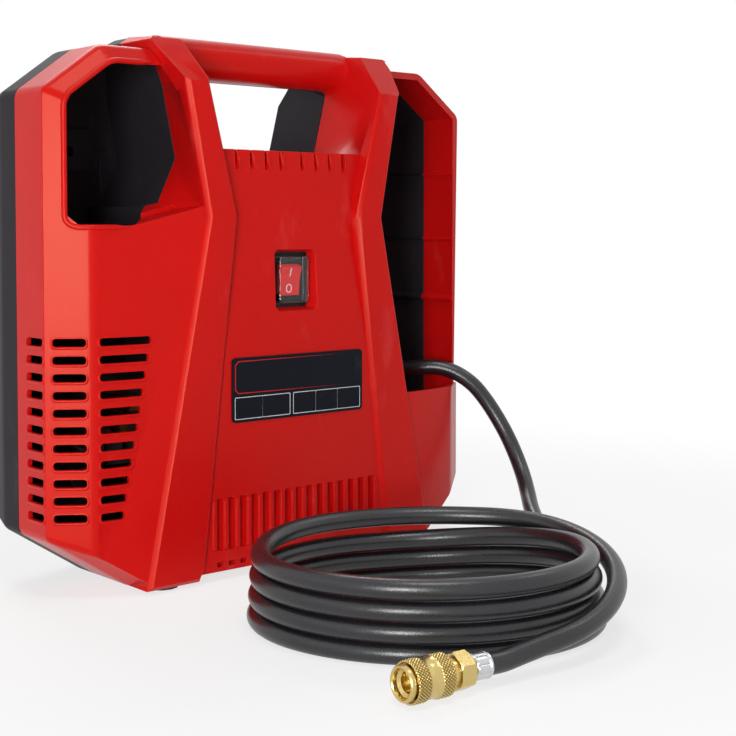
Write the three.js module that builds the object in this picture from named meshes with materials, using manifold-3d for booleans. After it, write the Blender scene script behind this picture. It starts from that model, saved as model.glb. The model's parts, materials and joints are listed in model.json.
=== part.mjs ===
// Upright portable air compressor: two moulded housing shells with a carrying handle and two storage
// bays, an oil-free piston pump geared to a universal motor, and a coiled air hose with its coupler.
// Millimetres, +Z up, front towards -Y. The origin is on the floor under the middle of the housing.
import * as THREE from 'three';
import { mergeVertices } from 'three/addons/utils/BufferGeometryUtils.js';
import Module from 'manifold-3d';

const wasm = await Module();
wasm.setup();

// Fits and cutting
const fitGap = 0.3;
const cutOverrun = 6;
const farSide = 400;

// Housing, overall
const halfWidth = 175;
const bodyDepth = 117;
const seamFromFront = 63;
const footProud = 2;
const wall = 3;
const baseHalfSpan = 120.5;
const sideFootHeight = 35.4;
const sideTopHeight = 308.9;
const wingTopHeight = 338.5;
const topChamferRun = 40.2;

// Front shell facets
const sideFacetDepth = 34;
const bevelWidth = 24;
const bevelDepth = 18;
const baseBevelWidth = 5;
const wingStep = 3;

// Pillars: inner and outer edges, from the foot over the waist and the shoulder to the top
const pillarToe = 81;
const pillarToeHeight = 8;
const pillarInnerFoot = 76.5;
const pillarInnerWaist = 50.1;
const pillarOuterWaist = 73.9;
const pillarWaistHeight = 232;
const pillarInnerShoulder = 71.6;
const pillarOuterShoulder = 89.9;
const pillarShoulderHeight = 317;
const pillarInnerTop = 76.5;
const pillarOuterTop = 100.6;
const pillarOuterTopHeight = 344;
const pillarCrownHeight = 349;
const pillarCrownRun = 7;
const pillarEdge = 2.8;
const crownSlopeDepth = 28;
const crownSlopeHeight = 346;
const baseArch = 4;

// Control panel between the pillars
const panelRecess = 2.5;
const panelTopRecess = 10.5;
const panelBendHeight = 135;
const deckHeight = 276;
const deckSlotWidth = 2.6;
const deckSlotHeight = 13;
const deckSlotDepth = 4.5;
const deckSlotPitch = 12;
const deckSlotFirst = 9;
const deckSlotsPerSide = 4;
const ribTopHeight = 51;
const ribFootHeight = 7;
const ribGrooveWidth = 4.6;
const ribPitch = 9.2;
const ribGrooveDepth = 4;
const ribCount = 15;

// Handle
const handleHalfDepth = 18;
const handleHalfHeight = 13.2;
const handleTop = 350.6;
const handleMiddleBack = 2;
const handleSteps = 14;
const handleSquareShare = 0.72;

// Rear shell facets
const rearSideDepth = 20;
const rearShoulderInset = 6;
const rearShoulderDepth = 12.5;
const rearFaceInset = 22;
const rearCrownHeight = 315;
const rearCrownMid = 333;
const rearCrownMidDepth = 12.5;
const rearCrownTopDepth = 16;

// Storage bays
const bayInset = 11.4;
const bayLipHeight = 226.5;
const bayLipRise = 12.5;
const bayLipBend = 125;
const bayFloorDrop = 12.5;
const bayCorner = 6;
const bayRearFloorEdge = 95;
const bayRearLedge = 15;
const bayRearStepHeight = 2.5;
const bayRearFacetHeight = 241;
const bayRearFacetX = 85;
const bayFacetTopHeight = 270.5;
const bayRearFacetTopX = 71;
const bayFrontFacetHeight = 265;
const bayWallDraft = 9.4;
const linerFromSeam = 20;
const bossHalf = 9;
const bossProud = 4;
const bossX = 112;
const bossHeight = 276;
const bossHole = 4;
const bossHoleDepth = 6;
const bossCorner = 2;

// Side vents
const ventRows = 11;
const ventTopHeight = 155.8;
const ventPitch = 10.7;
const ventHeight = 5;
const sideVentStart = 13;
const sideVentEnd = 32.5;
const bevelVentLength = 20;
const frontVentStart = 147.6;
const frontVentTopEnd = 113;
const frontVentStep = 1.9;
const rearVentRows = 8;
const rearVentLength = 62;
const rearVentX = 105;

// Housing fasteners, feet and cradle ribs
const screwFromSide = 34;
const rightScrewDrop = 20;
const leftScrewHeight = 186;
const upperScrewX = 46;
const upperScrewHeight = 263;
const postRadius = 5.5;
const postBore = 2.4;
const screwShank = 2;
const screwHead = 4;
const screwHeadLength = 3;
const screwSink = 7;
const screwGrip = 14;
const footFromEdge = 19.5;
const archFromFoot = 20;
const footInset = 16;
const footRadius = 11;
const footNeck = 4.6;
const footBarb = 6.2;
const footBarbLength = 3;
const cradleThickness = 4;

// Nameplate
const plateWidth = 111;
const plateHeight = 42;
const plateThickness = 0.9;
const plateProud = 0.5;
const plateFoot = 99;
const plateCorner = 3;

// Switch
const switchHeight = 190.3;
const recessWidth = 34;
const recessTall = 40;
const recessDepth = 8;
const recessDraft = 2.6;
const recessCorner = 2.5;
const collarWall = 2.4;
const bezelWidth = 38;
const bezelTall = 44;
const bezelThickness = 2;
const bezelCorner = 1;
const switchBodyWidth = 28;
const switchBodyTall = 32;
const switchBodyDepth = 15;
const rockerWidth = 17;
const rockerTall = 22;
const rockerDepth = 9;
const rockerProud = 2.4;
const rockerPlay = 1;
const rockerPin = 1.6;
const rockerTiltDegrees = 10;
const coverWidth = 25.5;
const coverTall = 31;
const coverProud = 6.6;
const coverWall = 1.2;
const coverCorner = 2;

// Gear pair
const gearModule = 1.25;
const gearTeeth = 54;
const pinionTeeth = 12;
const pressureAngleDegrees = 20;
const addendumShare = 0.85;
const dedendumShare = 1.25;
const toothShare = 0.43;
const gearWidth = 10;

// Pump
const crankHeight = 128;
const machineBack = 6;
const crankThrow = 10;
const rodLength = 64;
const bore = 51;
const pistonClearance = 0.5;
const pistonHeight = 28;
const pistonCrown = 5;
const pistonWall = 3;
const crownAbovePin = 16;
const ringFromCrown = 7;
const ringHeight = 3;
const ringDepth = 2;
const gudgeonRadius = 4.5;
const gudgeonLength = 44;
const pistonBoss = 8;
const rodThickness = 10;
const rodWebThickness = 7;
const rodBigEnd = 14;
const rodSmallEnd = 8.5;
const rodShankWidth = 10;
const bearingOuter = 11;
const bearingInner = 5.3;
const crankPinRadius = 5;
const crankPinHead = 7;
const crankPinHeadLength = 2.4;
const cylinderWall = 3.5;
const cylinderHeight = 50;
const cylinderSides = 20;
const finRadius = 33;
const finThickness = 2.2;
const finPitch = 10;
const finCount = 3;
const finStart = 11;
const plateSide = 66;
const plateSideCorner = 4;
const valvePlateThickness = 4;
const portRadius = 4;
const portSpread = 12;
const reedThickness = 0.5;
const reedWidth = 11;
const reedLength = 30;
const reedCorner = 2;
const headHeight = 30;
const headPocket = 12;
const headWall = 5;
const headFinGap = 3;
const headFinPitch = 7;
const headFinDepth = 13;
const headFlange = 9;
const portRise = 1;
const boltSpread = 27;
const boltShank = 2.5;
const boltHead = 4.2;
const boltHeadLength = 5;
const boltGrip = 5;

// Pump frame, along X from the cylinder's axis
const deckThickness = 6;
const deckHalf = 38;
const frameWall = 8;
const webThickness = 4.6;
const webRadius = 25;
const webHub = 11;
const frameLegHalf = 38;
const frameFloor = 84;
const frameFloorThickness = 5;
const frameBackGap = 2;
const frameBackThickness = 5;
const sideGap = 1.5;
const crankShaftRadius = 6;
const crankBearingOuter = 14;

// Motor
const statorHalf = 40;
const statorCorner = 11;
const statorFromFrame = 6;
const armatureRadius = 24;
const airGap = 0.6;
const armatureSlots = 12;
const slotWidth = 3.6;
const slotDepth = 9;
const windingOverhang = 6;
const windingRadius = 20;
const windingDepth = 6;
const windingEndInset = 1;
const pocketInner = 17;
const pocketOuter = 31;
const pocketLow = 21.5;
const pocketHigh = 32;
const coilGap = 0.5;
const coilOverhang = 7;
const shaftRadius = 5;
const shaftPlay = 1;
const pinionSeat = 4;
const commutatorRadius = 13;
const commutatorLength = 12;
const commutatorGap = 2;
const commutatorBars = 12;
const commutatorGroove = 1;
const commutatorBarShare = 0.86;
const fanRadius = 45;
const fanHub = 10;
const fanDisc = 2;
const fanBlade = 11;
const fanBlades = 9;
const fanBladeThickness = 1.8;
const fanBladeRoot = 1;
const fanBladeLeanDegrees = 18;
const fanGap = 4;
const fanFromSide = 22.3;
const motorBearingOuter = 13;
const motorBearingWidth = 8;
const brushWidth = 6;
const brushTall = 8;
const brushLength = 15;
const brushTube = 1.6;
const bracketBar = 9;
const bracketArm = 4;
const bracketInset = 1;

// Outlet line
const pipeRadius = 4;
const pipeSides = 8;
const pipeSteps = 22;
const fittingHeight = 117;
const fittingAboveLip = 10;
const fittingAboveFloor = 25;
const fittingBack = 8;
const fittingRadius = 8;
const fittingBore = 3;
const bushLength = 26;
const bushFlange = 12;
const bushFlangeLength = 4;
const bushTaperRadius = 9;
const bushTipRadius = 6.7;
const bushBore = 3.7;
const reliefRadius = 6;
const reliefLength = 11;
const reliefChamfer = 2;
const reliefPin = 2.4;
const reliefPinLength = 9;
const reliefLift = 2;

// Mains cable bush in the rear shell
const mainsFromScrew = 23;
const mainsBelowScrew = 10;
const mainsRadius = 8;
const mainsBore = 3.6;
const mainsLength = 12;
const mainsFlange = 11;
const mainsFlangeLength = 3;

// Hose and coupler
const hoseRadius = 5.7;
const hoseLeadSides = 8;
const hoseLeadSteps = 28;
const coilSides = 6;
const stepsPerLoop = 24;
const coilCentreX = -55;
const coilCentreY = -233.5;
const coilShiftRight = 4;
const coilShiftAway = 33;
const coilLeanRight = 0.5;
const coilLeanAway = 2.8;
const coilLong = 98;
const coilTaper = 1.5;
const coilWide = 83;
const coilTurnDegrees = -41.32;
const coilLayer = 12.1;
const coilLoops = 4;
const looseSpread = 15;
const looseWiden = 18;
const looseLift = 3.5;
const tailHeight = 11;
const tailSteps = 3;
const coilSteps = 100;
const floorGap = 0.1;
const leadEndShares = [0.6, 0.35, 0.12];

// Hose: where in each loop it climbs a layer, and how the last loop leaves the pile
const climbStartShare = 0.7;
const climbEndShare = 0.98;
const leaveShare = 3.64;
const leaveEndShare = 3.87;
const widenEndShare = 4;
const liftStartShare = 3.45;
const liftEndShare = 3.65;
const dropStartShare = 3.83;
const dropEndShare = 4.24;

// Ferrule and coupler
const ferruleRadius = 6.9;
const ferruleLength = 12.5;
const crimpDepth = 0.8;
const hexRadius = 10;
const hexLength = 9;
const hexCollar = 1;
const couplerLip = 1.6;
const couplerBodyRadius = 7.4;
const couplerBore = 5.2;
const couplerLength = 31;
const couplerBoreDepth = 25;
const couplerLipLength = 3;
const couplerSocketDepth = 10;
const sleeveRadius = 10.8;
const sleeveLength = 23;
const sleeveGroove = 0.8;
const valveLength = 10;

// Derived planes
const yFront = -bodyDepth / 2;
const yRear = bodyDepth / 2;
const ySeam = yFront + seamFromFront;
const ySideFacet = ySeam - sideFacetDepth;
const yBevel = ySideFacet - bevelDepth;
const yWing = yFront + wingStep;
const yLiner = ySeam - linerFromSeam;
const rightLipHeight = fittingHeight - fittingAboveLip;
const rightBayFloor = fittingHeight - fittingAboveFloor;
const screwX = halfWidth - screwFromSide;
const rightScrewHeight = rightBayFloor - rightScrewDrop;
const footX = baseHalfSpan - footFromEdge;
const archHalf = footX - archFromFoot;
const mainsX = screwX - mainsFromScrew;
const mainsHeight = rightScrewHeight - mainsBelowScrew;

const degrees = Math.PI / 180;

// Solid-modelling helpers

function solid(geometry) {
  const bare = geometry.clone();
  bare.deleteAttribute('normal');
  bare.deleteAttribute('uv');
  const merged = mergeVertices(bare, 1e-4);
  const triVerts = new Uint32Array(merged.index.array);
  const vertProperties = merged.attributes.position.array;
  let made = new wasm.Manifold(new wasm.Mesh({ numProp: 3, vertProperties, triVerts }));
  if (made.volume() < 0) {
    for (let i = 0; i < triVerts.length; i += 3) {
      triVerts.subarray(i, i + 2).reverse();
    }
    made = new wasm.Manifold(new wasm.Mesh({ numProp: 3, vertProperties, triVerts }));
  }
  return made;
}

function geometryOf(manifold) {
  const mesh = manifold.getMesh();
  const geometry = new THREE.BufferGeometry();
  const position = new Float32Array(mesh.vertProperties);
  geometry.setAttribute('position', new THREE.BufferAttribute(position, 3));
  geometry.setIndex(new THREE.BufferAttribute(new Uint32Array(mesh.triVerts), 1));
  const flat = geometry.toNonIndexed();
  flat.computeVertexNormals();
  return flat;
}

const join = (...parts) => parts.flat().reduce((sum, part) => sum.add(part));
const cut = (body, ...tools) => tools.flat().reduce((left, tool) => left.subtract(tool), body);

const axisX = new THREE.Vector3(1, 0, 0);
const axisY = new THREE.Vector3(0, 1, 0);
const axisZ = new THREE.Vector3(0, 0, 1);
const alongX = new THREE.Matrix4().makeBasis(axisY, axisZ, axisX);
const alongY = new THREE.Matrix4().makeBasis(axisX, axisZ, axisY.clone().negate());

// An outline is drawn in the two axes across the prism: (y, z) along x, (x, z) along y, (x, y) along z.
function prismGeometry(axis, outline, low, high) {
  const shape = new THREE.Shape(outline.map(([u, v]) => new THREE.Vector2(u, v)));
  const geometry = new THREE.ExtrudeGeometry(shape, { depth: high - low, bevelEnabled: false });
  if (axis === 'x') return geometry.applyMatrix4(alongX).translate(low, 0, 0);
  if (axis === 'y') return geometry.applyMatrix4(alongY).translate(0, high, 0);
  return geometry.translate(0, 0, low);
}

const prism = (axis, outline, low, high) => solid(prismGeometry(axis, outline, low, high));

function block(x0, x1, y0, y1, z0, z1) {
  const box = new THREE.BoxGeometry(x1 - x0, y1 - y0, z1 - z0);
  return solid(box.translate((x0 + x1) / 2, (y0 + y1) / 2, (z0 + z1) / 2));
}

// A round bar along an axis. The two centre values are given in the order x, y, z without that axis.
function bar(axis, radius, low, high, centreU, centreV, sides = 16) {
  const geometry = new THREE.CylinderGeometry(radius, radius, high - low, sides);
  const middle = (low + high) / 2;
  if (axis === 'x') return solid(geometry.rotateZ(-Math.PI / 2).translate(middle, centreU, centreV));
  if (axis === 'y') return solid(geometry.translate(centreU, middle, centreV));
  return solid(geometry.rotateX(Math.PI / 2).translate(centreU, centreV, middle));
}

// A turned piece: profile points are (radius, position along the axis).
function turned(axis, profile, centreU, centreV, sides = 20) {
  const points = profile.map(([r, along]) => new THREE.Vector2(r, along));
  const geometry = new THREE.LatheGeometry(points, sides);
  if (axis === 'x') return solid(geometry.rotateZ(-Math.PI / 2).translate(0, centreU, centreV));
  if (axis === 'y') return solid(geometry.translate(centreU, 0, centreV));
  return solid(geometry.rotateX(Math.PI / 2).translate(centreU, centreV, 0));
}

const ringProfile = (inner, outer, low, high) => [
  [inner, low],
  [outer, low],
  [outer, high],
  [inner, high],
  [inner, low],
];

// A closed solid through outlines of equal point counts, in planes across the y or the z axis.
function loft(axis, sections) {
  const count = sections[0].outline.length;
  const place = (u, v, w) => (axis === 'y' ? [u, w, v] : [u, v, w]);
  const positions = [];
  const corner = (s, i) => {
    const section = sections[s];
    const [u, v] = section.outline[i % count];
    return place(u, v, section.at);
  };
  for (let s = 0; s + 1 < sections.length; s++) {
    for (let i = 0; i < count; i++) {
      positions.push(...corner(s, i), ...corner(s, i + 1), ...corner(s + 1, i + 1));
      positions.push(...corner(s, i), ...corner(s + 1, i + 1), ...corner(s + 1, i));
    }
  }
  for (const end of [0, sections.length - 1]) {
    const flat = sections[end].outline.map(([u, v]) => new THREE.Vector2(u, v));
    for (const [a, b, c] of THREE.ShapeUtils.triangulateShape(flat, [])) {
      const face = end === 0 ? [a, c, b] : [a, b, c];
      face.forEach((i) => positions.push(...corner(end, i)));
    }
  }
  const geometry = new THREE.BufferGeometry();
  geometry.setAttribute('position', new THREE.BufferAttribute(new Float32Array(positions), 3));
  return solid(geometry);
}

// Moves each edge of an anticlockwise outline inwards by its distance; negative moves it outwards.
function offset(outline, distances) {
  const count = outline.length;
  const lines = outline.map(([x, y], i) => {
    const [nextX, nextY] = outline[(i + 1) % count];
    const length = Math.hypot(nextX - x, nextY - y);
    const along = [(nextX - x) / length, (nextY - y) / length];
    const distance = Array.isArray(distances) ? distances[i] : distances;
    return { point: [x - along[1] * distance, y + along[0] * distance], along };
  });
  return lines.map((line, i) => {
    const before = lines[(i + count - 1) % count];
    const [ax, ay] = before.along;
    const [bx, by] = line.along;
    const cross = ax * by - ay * bx;
    if (Math.abs(cross) < 1e-6) return line.point;
    const gapX = line.point[0] - before.point[0];
    const gapY = line.point[1] - before.point[1];
    const run = (gapX * by - gapY * bx) / cross;
    return [before.point[0] + ax * run, before.point[1] + ay * run];
  });
}

const mirrored = (outline) => outline.map(([x, z]) => [-x, z]).reverse();

function chamferedBox(width, height, corner, centreU = 0, centreV = 0) {
  const u = width / 2;
  const v = height / 2;
  const points = [
    [u - corner, -v],
    [u, corner - v],
    [u, v - corner],
    [u - corner, v],
    [corner - u, v],
    [-u, v - corner],
    [-u, corner - v],
    [corner - u, -v],
  ];
  return points.map(([a, b]) => [a + centreU, b + centreV]);
}

// Housing outlines, seen from the front

const halfSilhouette = [
  [baseHalfSpan, 0],
  [halfWidth, sideFootHeight],
  [halfWidth, sideTopHeight],
  [halfWidth - topChamferRun, wingTopHeight],
];
const silhouette = [...halfSilhouette, ...mirrored(halfSilhouette)];
const noseInsets = (extra) => {
  const side = bevelWidth + extra;
  const base = baseBevelWidth + extra;
  return [base, side, side, side, side, side, base, extra];
};

const pillarOuterEdge = [
  [baseHalfSpan, 0],
  [pillarOuterWaist, pillarWaistHeight],
  [pillarOuterShoulder, pillarShoulderHeight],
  [pillarOuterTop, pillarOuterTopHeight],
];
const pillarInnerEdge = [
  [pillarInnerTop, pillarCrownHeight],
  [pillarInnerShoulder, pillarShoulderHeight],
  [pillarInnerWaist, pillarWaistHeight],
  [pillarInnerFoot, pillarToeHeight],
];
const pillarOutline = [
  ...pillarOuterEdge,
  [pillarOuterTop - pillarCrownRun, pillarCrownHeight],
  ...pillarInnerEdge,
  [pillarToe, 0],
];

function edgeAt(edge, height) {
  const last = edge.length - 1;
  const upwards = edge[0][1] < edge[last][1] ? edge : [...edge].reverse();
  let i = 0;
  while (i < last - 1 && upwards[i + 1][1] < height) i++;
  const [x0, z0] = upwards[i];
  const [x1, z1] = upwards[i + 1];
  return x0 + ((x1 - x0) * (height - z0)) / (z1 - z0);
}

const innerEdgeAt = (height) => edgeAt(pillarInnerEdge, height);
const outerEdgeAt = (height) => edgeAt(pillarOuterEdge, height);

// Depth of the panel's face at a height
const panelTopY = yFront + panelTopRecess;
const panelY = yFront + panelRecess;
function panelYAt(height) {
  const share = (height - panelBendHeight) / (deckHeight - panelBendHeight);
  return panelY + Math.max(0, share) * (panelTopY - panelY);
}

// The gap between the pillars, in front of the panel and above the deck
function centreGap(grow) {
  const half = [
    [pillarToe, -cutOverrun],
    [pillarToe, 0],
    ...[...pillarInnerEdge].reverse(),
    [pillarInnerTop, farSide],
  ];
  const outline = offset([...half, ...mirrored(half)], -grow);
  const front = yFront - cutOverrun - grow;
  const profile = offset(
    [
      [front, -cutOverrun - grow],
      [panelY, -cutOverrun - grow],
      [panelY, panelBendHeight],
      [panelTopY, deckHeight],
      [yRear + cutOverrun, deckHeight],
      [yRear + cutOverrun, farSide],
      [front, farSide],
    ],
    [0, -grow, -grow, -grow, 0, 0, 0],
  );
  return prism('y', outline, front, yRear + cutOverrun).intersect(
    prism('x', profile, -halfWidth, halfWidth),
  );
}

// A bay's space behind its mouth: it grows by the wall's thickness for the cavity around it
function bayRegion(side, grow) {
  const outwards = halfWidth + cutOverrun;
  const floor = side < 0 ? bayLipHeight - bayFloorDrop : rightBayFloor;
  const lip = side < 0 ? bayLipHeight : rightLipHeight;
  const topX = outerEdgeAt(wingTopHeight);
  const draftAt = (height) => outerEdgeAt(height) - bayWallDraft;
  const plainFront = [
    [outerEdgeAt(floor), floor],
    [outwards, floor],
    [outwards, farSide],
    [topX, farSide],
    [topX, wingTopHeight],
    [pillarOuterShoulder, pillarShoulderHeight],
    [pillarOuterWaist, pillarWaistHeight],
  ];
  const plainRear = [
    [draftAt(floor), floor],
    [outwards, floor],
    [outwards, farSide],
    [topX - bayWallDraft, farSide],
    [topX - bayWallDraft, wingTopHeight],
    [draftAt(pillarShoulderHeight), pillarShoulderHeight],
    [draftAt(pillarWaistHeight), pillarWaistHeight],
  ];
  const ledge = lip + bayLipRise;
  const steppedFront = [
    [bayLipBend + bayRearStepHeight, floor],
    [outwards, floor],
    [outwards, farSide],
    [topX, farSide],
    [topX, wingTopHeight],
    [pillarOuterShoulder, pillarShoulderHeight],
    [outerEdgeAt(bayFrontFacetHeight), bayFrontFacetHeight],
    [outerEdgeAt(ledge), ledge],
    [(outerEdgeAt(ledge) + bayLipBend) / 2, (ledge + lip) / 2],
    [bayLipBend, lip],
  ];
  const steppedRear = [
    [bayRearFloorEdge, floor],
    [outwards, floor],
    [outwards, farSide],
    [topX - bayWallDraft, farSide],
    [topX - bayWallDraft, wingTopHeight],
    [draftAt(pillarShoulderHeight), pillarShoulderHeight],
    [bayRearFacetTopX, bayFacetTopHeight],
    [bayRearFacetX, bayRearFacetHeight],
    [bayRearFloorEdge, ledge],
    [bayRearFloorEdge, floor + bayRearLedge],
  ];
  const turn = (outline) => (side < 0 ? mirrored(outline) : outline);
  const front = offset(turn(side < 0 ? steppedFront : plainFront), -grow);
  const rear = offset(turn(side < 0 ? steppedRear : plainRear), -grow);
  return loft('y', [
    { outline: front, at: yFront - cutOverrun },
    { outline: front, at: yWing + wall },
    { outline: rear, at: yLiner },
    { outline: rear, at: yRear + cutOverrun },
  ]);
}

// Front half of the housing without its pillars; an inset gives the space inside its walls
const frontBack = (inset) => ySeam + (inset ? cutOverrun : -fitGap / 2);
function frontSkin(inset) {
  const back = frontBack(inset);
  const rim = offset(silhouette, inset);
  const nose = offset(silhouette, noseInsets(inset));
  const skin = loft('y', [
    { outline: rim, at: back },
    { outline: rim, at: ySideFacet + inset / 2 },
    { outline: nose, at: yBevel + inset },
    { outline: nose, at: yFront - cutOverrun },
  ]);
  const outside = halfWidth + cutOverrun;
  const ridge = halfWidth - bevelWidth;
  const planAt = (edge) => [
    [-outside, yBevel + inset],
    [-ridge, yBevel + inset],
    [-edge, yWing + inset],
    [edge, yWing + inset],
    [ridge, yBevel + inset],
    [outside, yBevel + inset],
    [outside, back + cutOverrun],
    [-outside, back + cutOverrun],
  ];
  const keys = [
    [baseHalfSpan, -cutOverrun],
    [baseHalfSpan, 0],
    [pillarOuterWaist, pillarWaistHeight],
    [pillarOuterShoulder, pillarShoulderHeight],
    [pillarOuterTop, wingTopHeight + cutOverrun],
  ];
  const plan = loft(
    'z',
    keys.map(([edge, height]) => ({ outline: planAt(edge), at: height })),
  );
  return skin.intersect(plan);
}

const frontBody = (inset) => join(frontSkin(inset), pillars(inset, frontBack(inset)));

function pillars(inset, back) {
  const crown = [
    [back + cutOverrun, -cutOverrun],
    [back + cutOverrun, pillarCrownHeight + cutOverrun],
    [back, pillarCrownHeight - inset],
    [yFront + crownSlopeDepth + inset, crownSlopeHeight - inset],
    [yFront + inset, pillarShoulderHeight - inset / 2],
    [yFront - cutOverrun, pillarShoulderHeight - inset / 2],
    [yFront - cutOverrun, -cutOverrun],
  ].reverse();
  const trim = prism('x', crown, -farSide, farSide);
  const outer = offset(pillarOutline, inset);
  const face = offset(pillarOutline, inset + pillarEdge);
  return [1, -1].map((side) => {
    const turn = (outline) => (side > 0 ? outline : mirrored(outline));
    const body = loft('y', [
      { outline: turn(outer), at: back },
      { outline: turn(outer), at: yFront + pillarEdge + inset / 2 },
      { outline: turn(face), at: yFront + inset },
    ]);
    return body.intersect(trim);
  });
}

// Rear half of the housing, in the same way
function rearBody(inset) {
  const front = ySeam + (inset ? -cutOverrun : fitGap / 2);
  const at = (extra) => offset(silhouette, [...Array(7).fill(extra + inset), inset]);
  const skin = loft('y', [
    { outline: at(0), at: front },
    { outline: at(0), at: ySeam + rearSideDepth },
    { outline: at(rearShoulderInset), at: yRear - rearShoulderDepth },
    { outline: at(rearFaceInset), at: yRear - inset },
  ]);
  const shoulders = [
    [yRear - inset, rearCrownHeight - inset / 2],
    [yRear - rearCrownMidDepth - inset / 2, rearCrownMid - inset],
    [ySeam + rearCrownTopDepth, pillarCrownHeight - inset],
    [front, pillarCrownHeight - inset],
    [front, pillarWaistHeight],
    [yRear - inset, pillarWaistHeight],
  ];
  const trim = prism('x', shoulders, -farSide, farSide);
  const outer = offset(pillarOutline, inset);
  const blocks = [outer, mirrored(outer)].map((outline) => {
    return prism('y', outline, front, yRear + cutOverrun).intersect(trim);
  });
  return join(skin, blocks);
}

function handleSection(inset) {
  const points = [];
  for (let i = 0; i < handleSteps; i++) {
    const angle = (2 * Math.PI * i) / handleSteps;
    const bulge = (value) => Math.sign(value) * Math.abs(value) ** handleSquareShare;
    points.push([
      handleMiddleBack + (handleHalfDepth - inset) * bulge(Math.cos(angle)),
      handleTop - handleHalfHeight + (handleHalfHeight - inset) * bulge(Math.sin(angle)),
    ]);
  }
  return points;
}

// Vents

function ventOutline(length, middle, height) {
  const u = length / 2;
  const v = ventHeight / 2;
  return [
    [middle - u, height - v],
    [middle + u, height - v],
    [middle + u, height + v],
    [middle - u, height + v],
  ];
}

function sideVents() {
  const cutters = [];
  const bevelAngle = Math.atan2(bevelDepth, bevelWidth);
  for (let row = 0; row < ventRows; row++) {
    const height = ventTopHeight - row * ventPitch;
    const sideLength = sideVentEnd - sideVentStart;
    const sideMiddle = ySeam - (sideVentStart + sideVentEnd) / 2;
    const sideSlot = ventOutline(sideLength, sideMiddle, height);
    cutters.push(prism('x', sideSlot, -halfWidth - cutOverrun, -halfWidth + wall + fitGap));
    const bevelSlot = prismGeometry('y', ventOutline(bevelVentLength, 0, height), -cutOverrun, cutOverrun);
    bevelSlot.rotateZ(-bevelAngle);
    bevelSlot.translate(-halfWidth + bevelWidth / 2, ySideFacet - bevelDepth / 2, 0);
    cutters.push(solid(bevelSlot));
    const end = frontVentTopEnd + row * frontVentStep;
    const frontSlot = ventOutline(frontVentStart - end, -(frontVentStart + end) / 2, height);
    cutters.push(prism('y', frontSlot, yFront, yBevel + cutOverrun));
  }
  return cutters;
}

function rearVents() {
  const cutters = [];
  for (const side of [-1, 1]) {
    for (let row = 0; row < rearVentRows; row++) {
      const height = ventTopHeight - (row + 1) * ventPitch;
      if (side > 0 && height > mainsHeight - 2 * mainsFlange) continue;
      const slot = ventOutline(rearVentLength, side * rearVentX, height);
      cutters.push(prism('y', slot, yRear - wall - fitGap, yRear + cutOverrun));
    }
  }
  return cutters;
}

function deckSlots() {
  const cutters = [];
  for (let i = 0; i < deckSlotsPerSide; i++) {
    for (const side of [-1, 1]) {
      const x = side * (deckSlotFirst + i * deckSlotPitch);
      const profile = [
        [panelTopY - cutOverrun, deckHeight - deckSlotHeight],
        [panelTopY, deckHeight - deckSlotHeight],
        [panelTopY + deckSlotDepth, deckHeight - deckSlotHeight / 2],
        [panelTopY + deckSlotDepth, deckHeight + cutOverrun],
        [panelTopY - cutOverrun, deckHeight + cutOverrun],
      ];
      cutters.push(prism('x', profile, x - deckSlotWidth / 2, x + deckSlotWidth / 2));
    }
  }
  return cutters;
}

function ribGrooves() {
  const cutters = [];
  for (let i = 0; i < ribCount; i++) {
    const x = (i - (ribCount - 1) / 2) * ribPitch;
    const left = x - ribGrooveWidth / 2;
    const right = x + ribGrooveWidth / 2;
    const backY = panelY + ribGrooveDepth;
    cutters.push(block(left, right, panelY - cutOverrun, backY, ribFootHeight, ribTopHeight));
  }
  return cutters;
}

// Posts that the housing screws clamp, in pairs left and right
const screwPlaces = [
  ['side_left', -screwX, leftScrewHeight],
  ['side_right', screwX, rightScrewHeight],
  ['upper_left', -upperScrewX, upperScrewHeight],
  ['upper_right', upperScrewX, upperScrewHeight],
];
const footPlaces = [
  ['front_left', -footX, yFront + footInset],
  ['front_right', footX, yFront + footInset],
  ['rear_left', -footX, yRear - footInset - rearShoulderDepth],
  ['rear_right', footX, yRear - footInset - rearShoulderDepth],
];

// Motor and pump places that the housing's ribs follow
const pitchRadius = (teeth) => (teeth * gearModule) / 2;
const motorHeight = crankHeight - pitchRadius(gearTeeth) - pitchRadius(pinionTeeth);
const gudgeonHeight = crankHeight + crankThrow + rodLength;
const crownHeight = gudgeonHeight + crownAbovePin;
const cylinderTop = crownHeight + 3 * fitGap + reedThickness;
const cylinderFoot = cylinderTop - cylinderHeight;
const deckTop = cylinderFoot - fitGap;
const rodFace = -rodThickness / 2;
const webFace = rodFace - 2 * fitGap;
const webBack = webFace - webThickness;
const innerWallFace = webBack - sideGap;
const innerWallBack = innerWallFace - frameWall;
const gearFace = innerWallBack - sideGap;
const gearBack = gearFace - gearWidth;
const outerWallFace = gearBack - sideGap;
const outerWallBack = outerWallFace - frameWall;
const statorRight = outerWallBack - statorFromFrame - coilOverhang;
const fanLeft = fanFromSide - halfWidth;
const fanRight = fanLeft + fanDisc + fanBlade;
const bracketLeft = fanRight + fanGap;
const bracketRight = bracketLeft + motorBearingWidth;
const commutatorLeft = bracketRight + commutatorGap;
const commutatorRight = commutatorLeft + commutatorLength;
const statorLeft = commutatorRight + commutatorGap + windingOverhang;
const statorLength = statorRight - statorLeft;
const frameRight = deckHalf;
const frameBack = machineBack + pitchRadius(gearTeeth) + gearModule + frameBackGap;

function housingPosts(low, high) {
  return screwPlaces.map(([, x, z]) => bar('y', postRadius, low, high, x, z, 12));
}

function cradleRibs(low, high) {
  const inset = statorLength / 4;
  return [statorLeft + inset, statorRight - inset].map((x) => {
    const bottom = motorHeight - statorHalf / 2;
    const top = motorHeight + statorHalf / 2;
    return block(x - cradleThickness / 2, x + cradleThickness / 2, low, high, bottom, top);
  });
}

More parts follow.
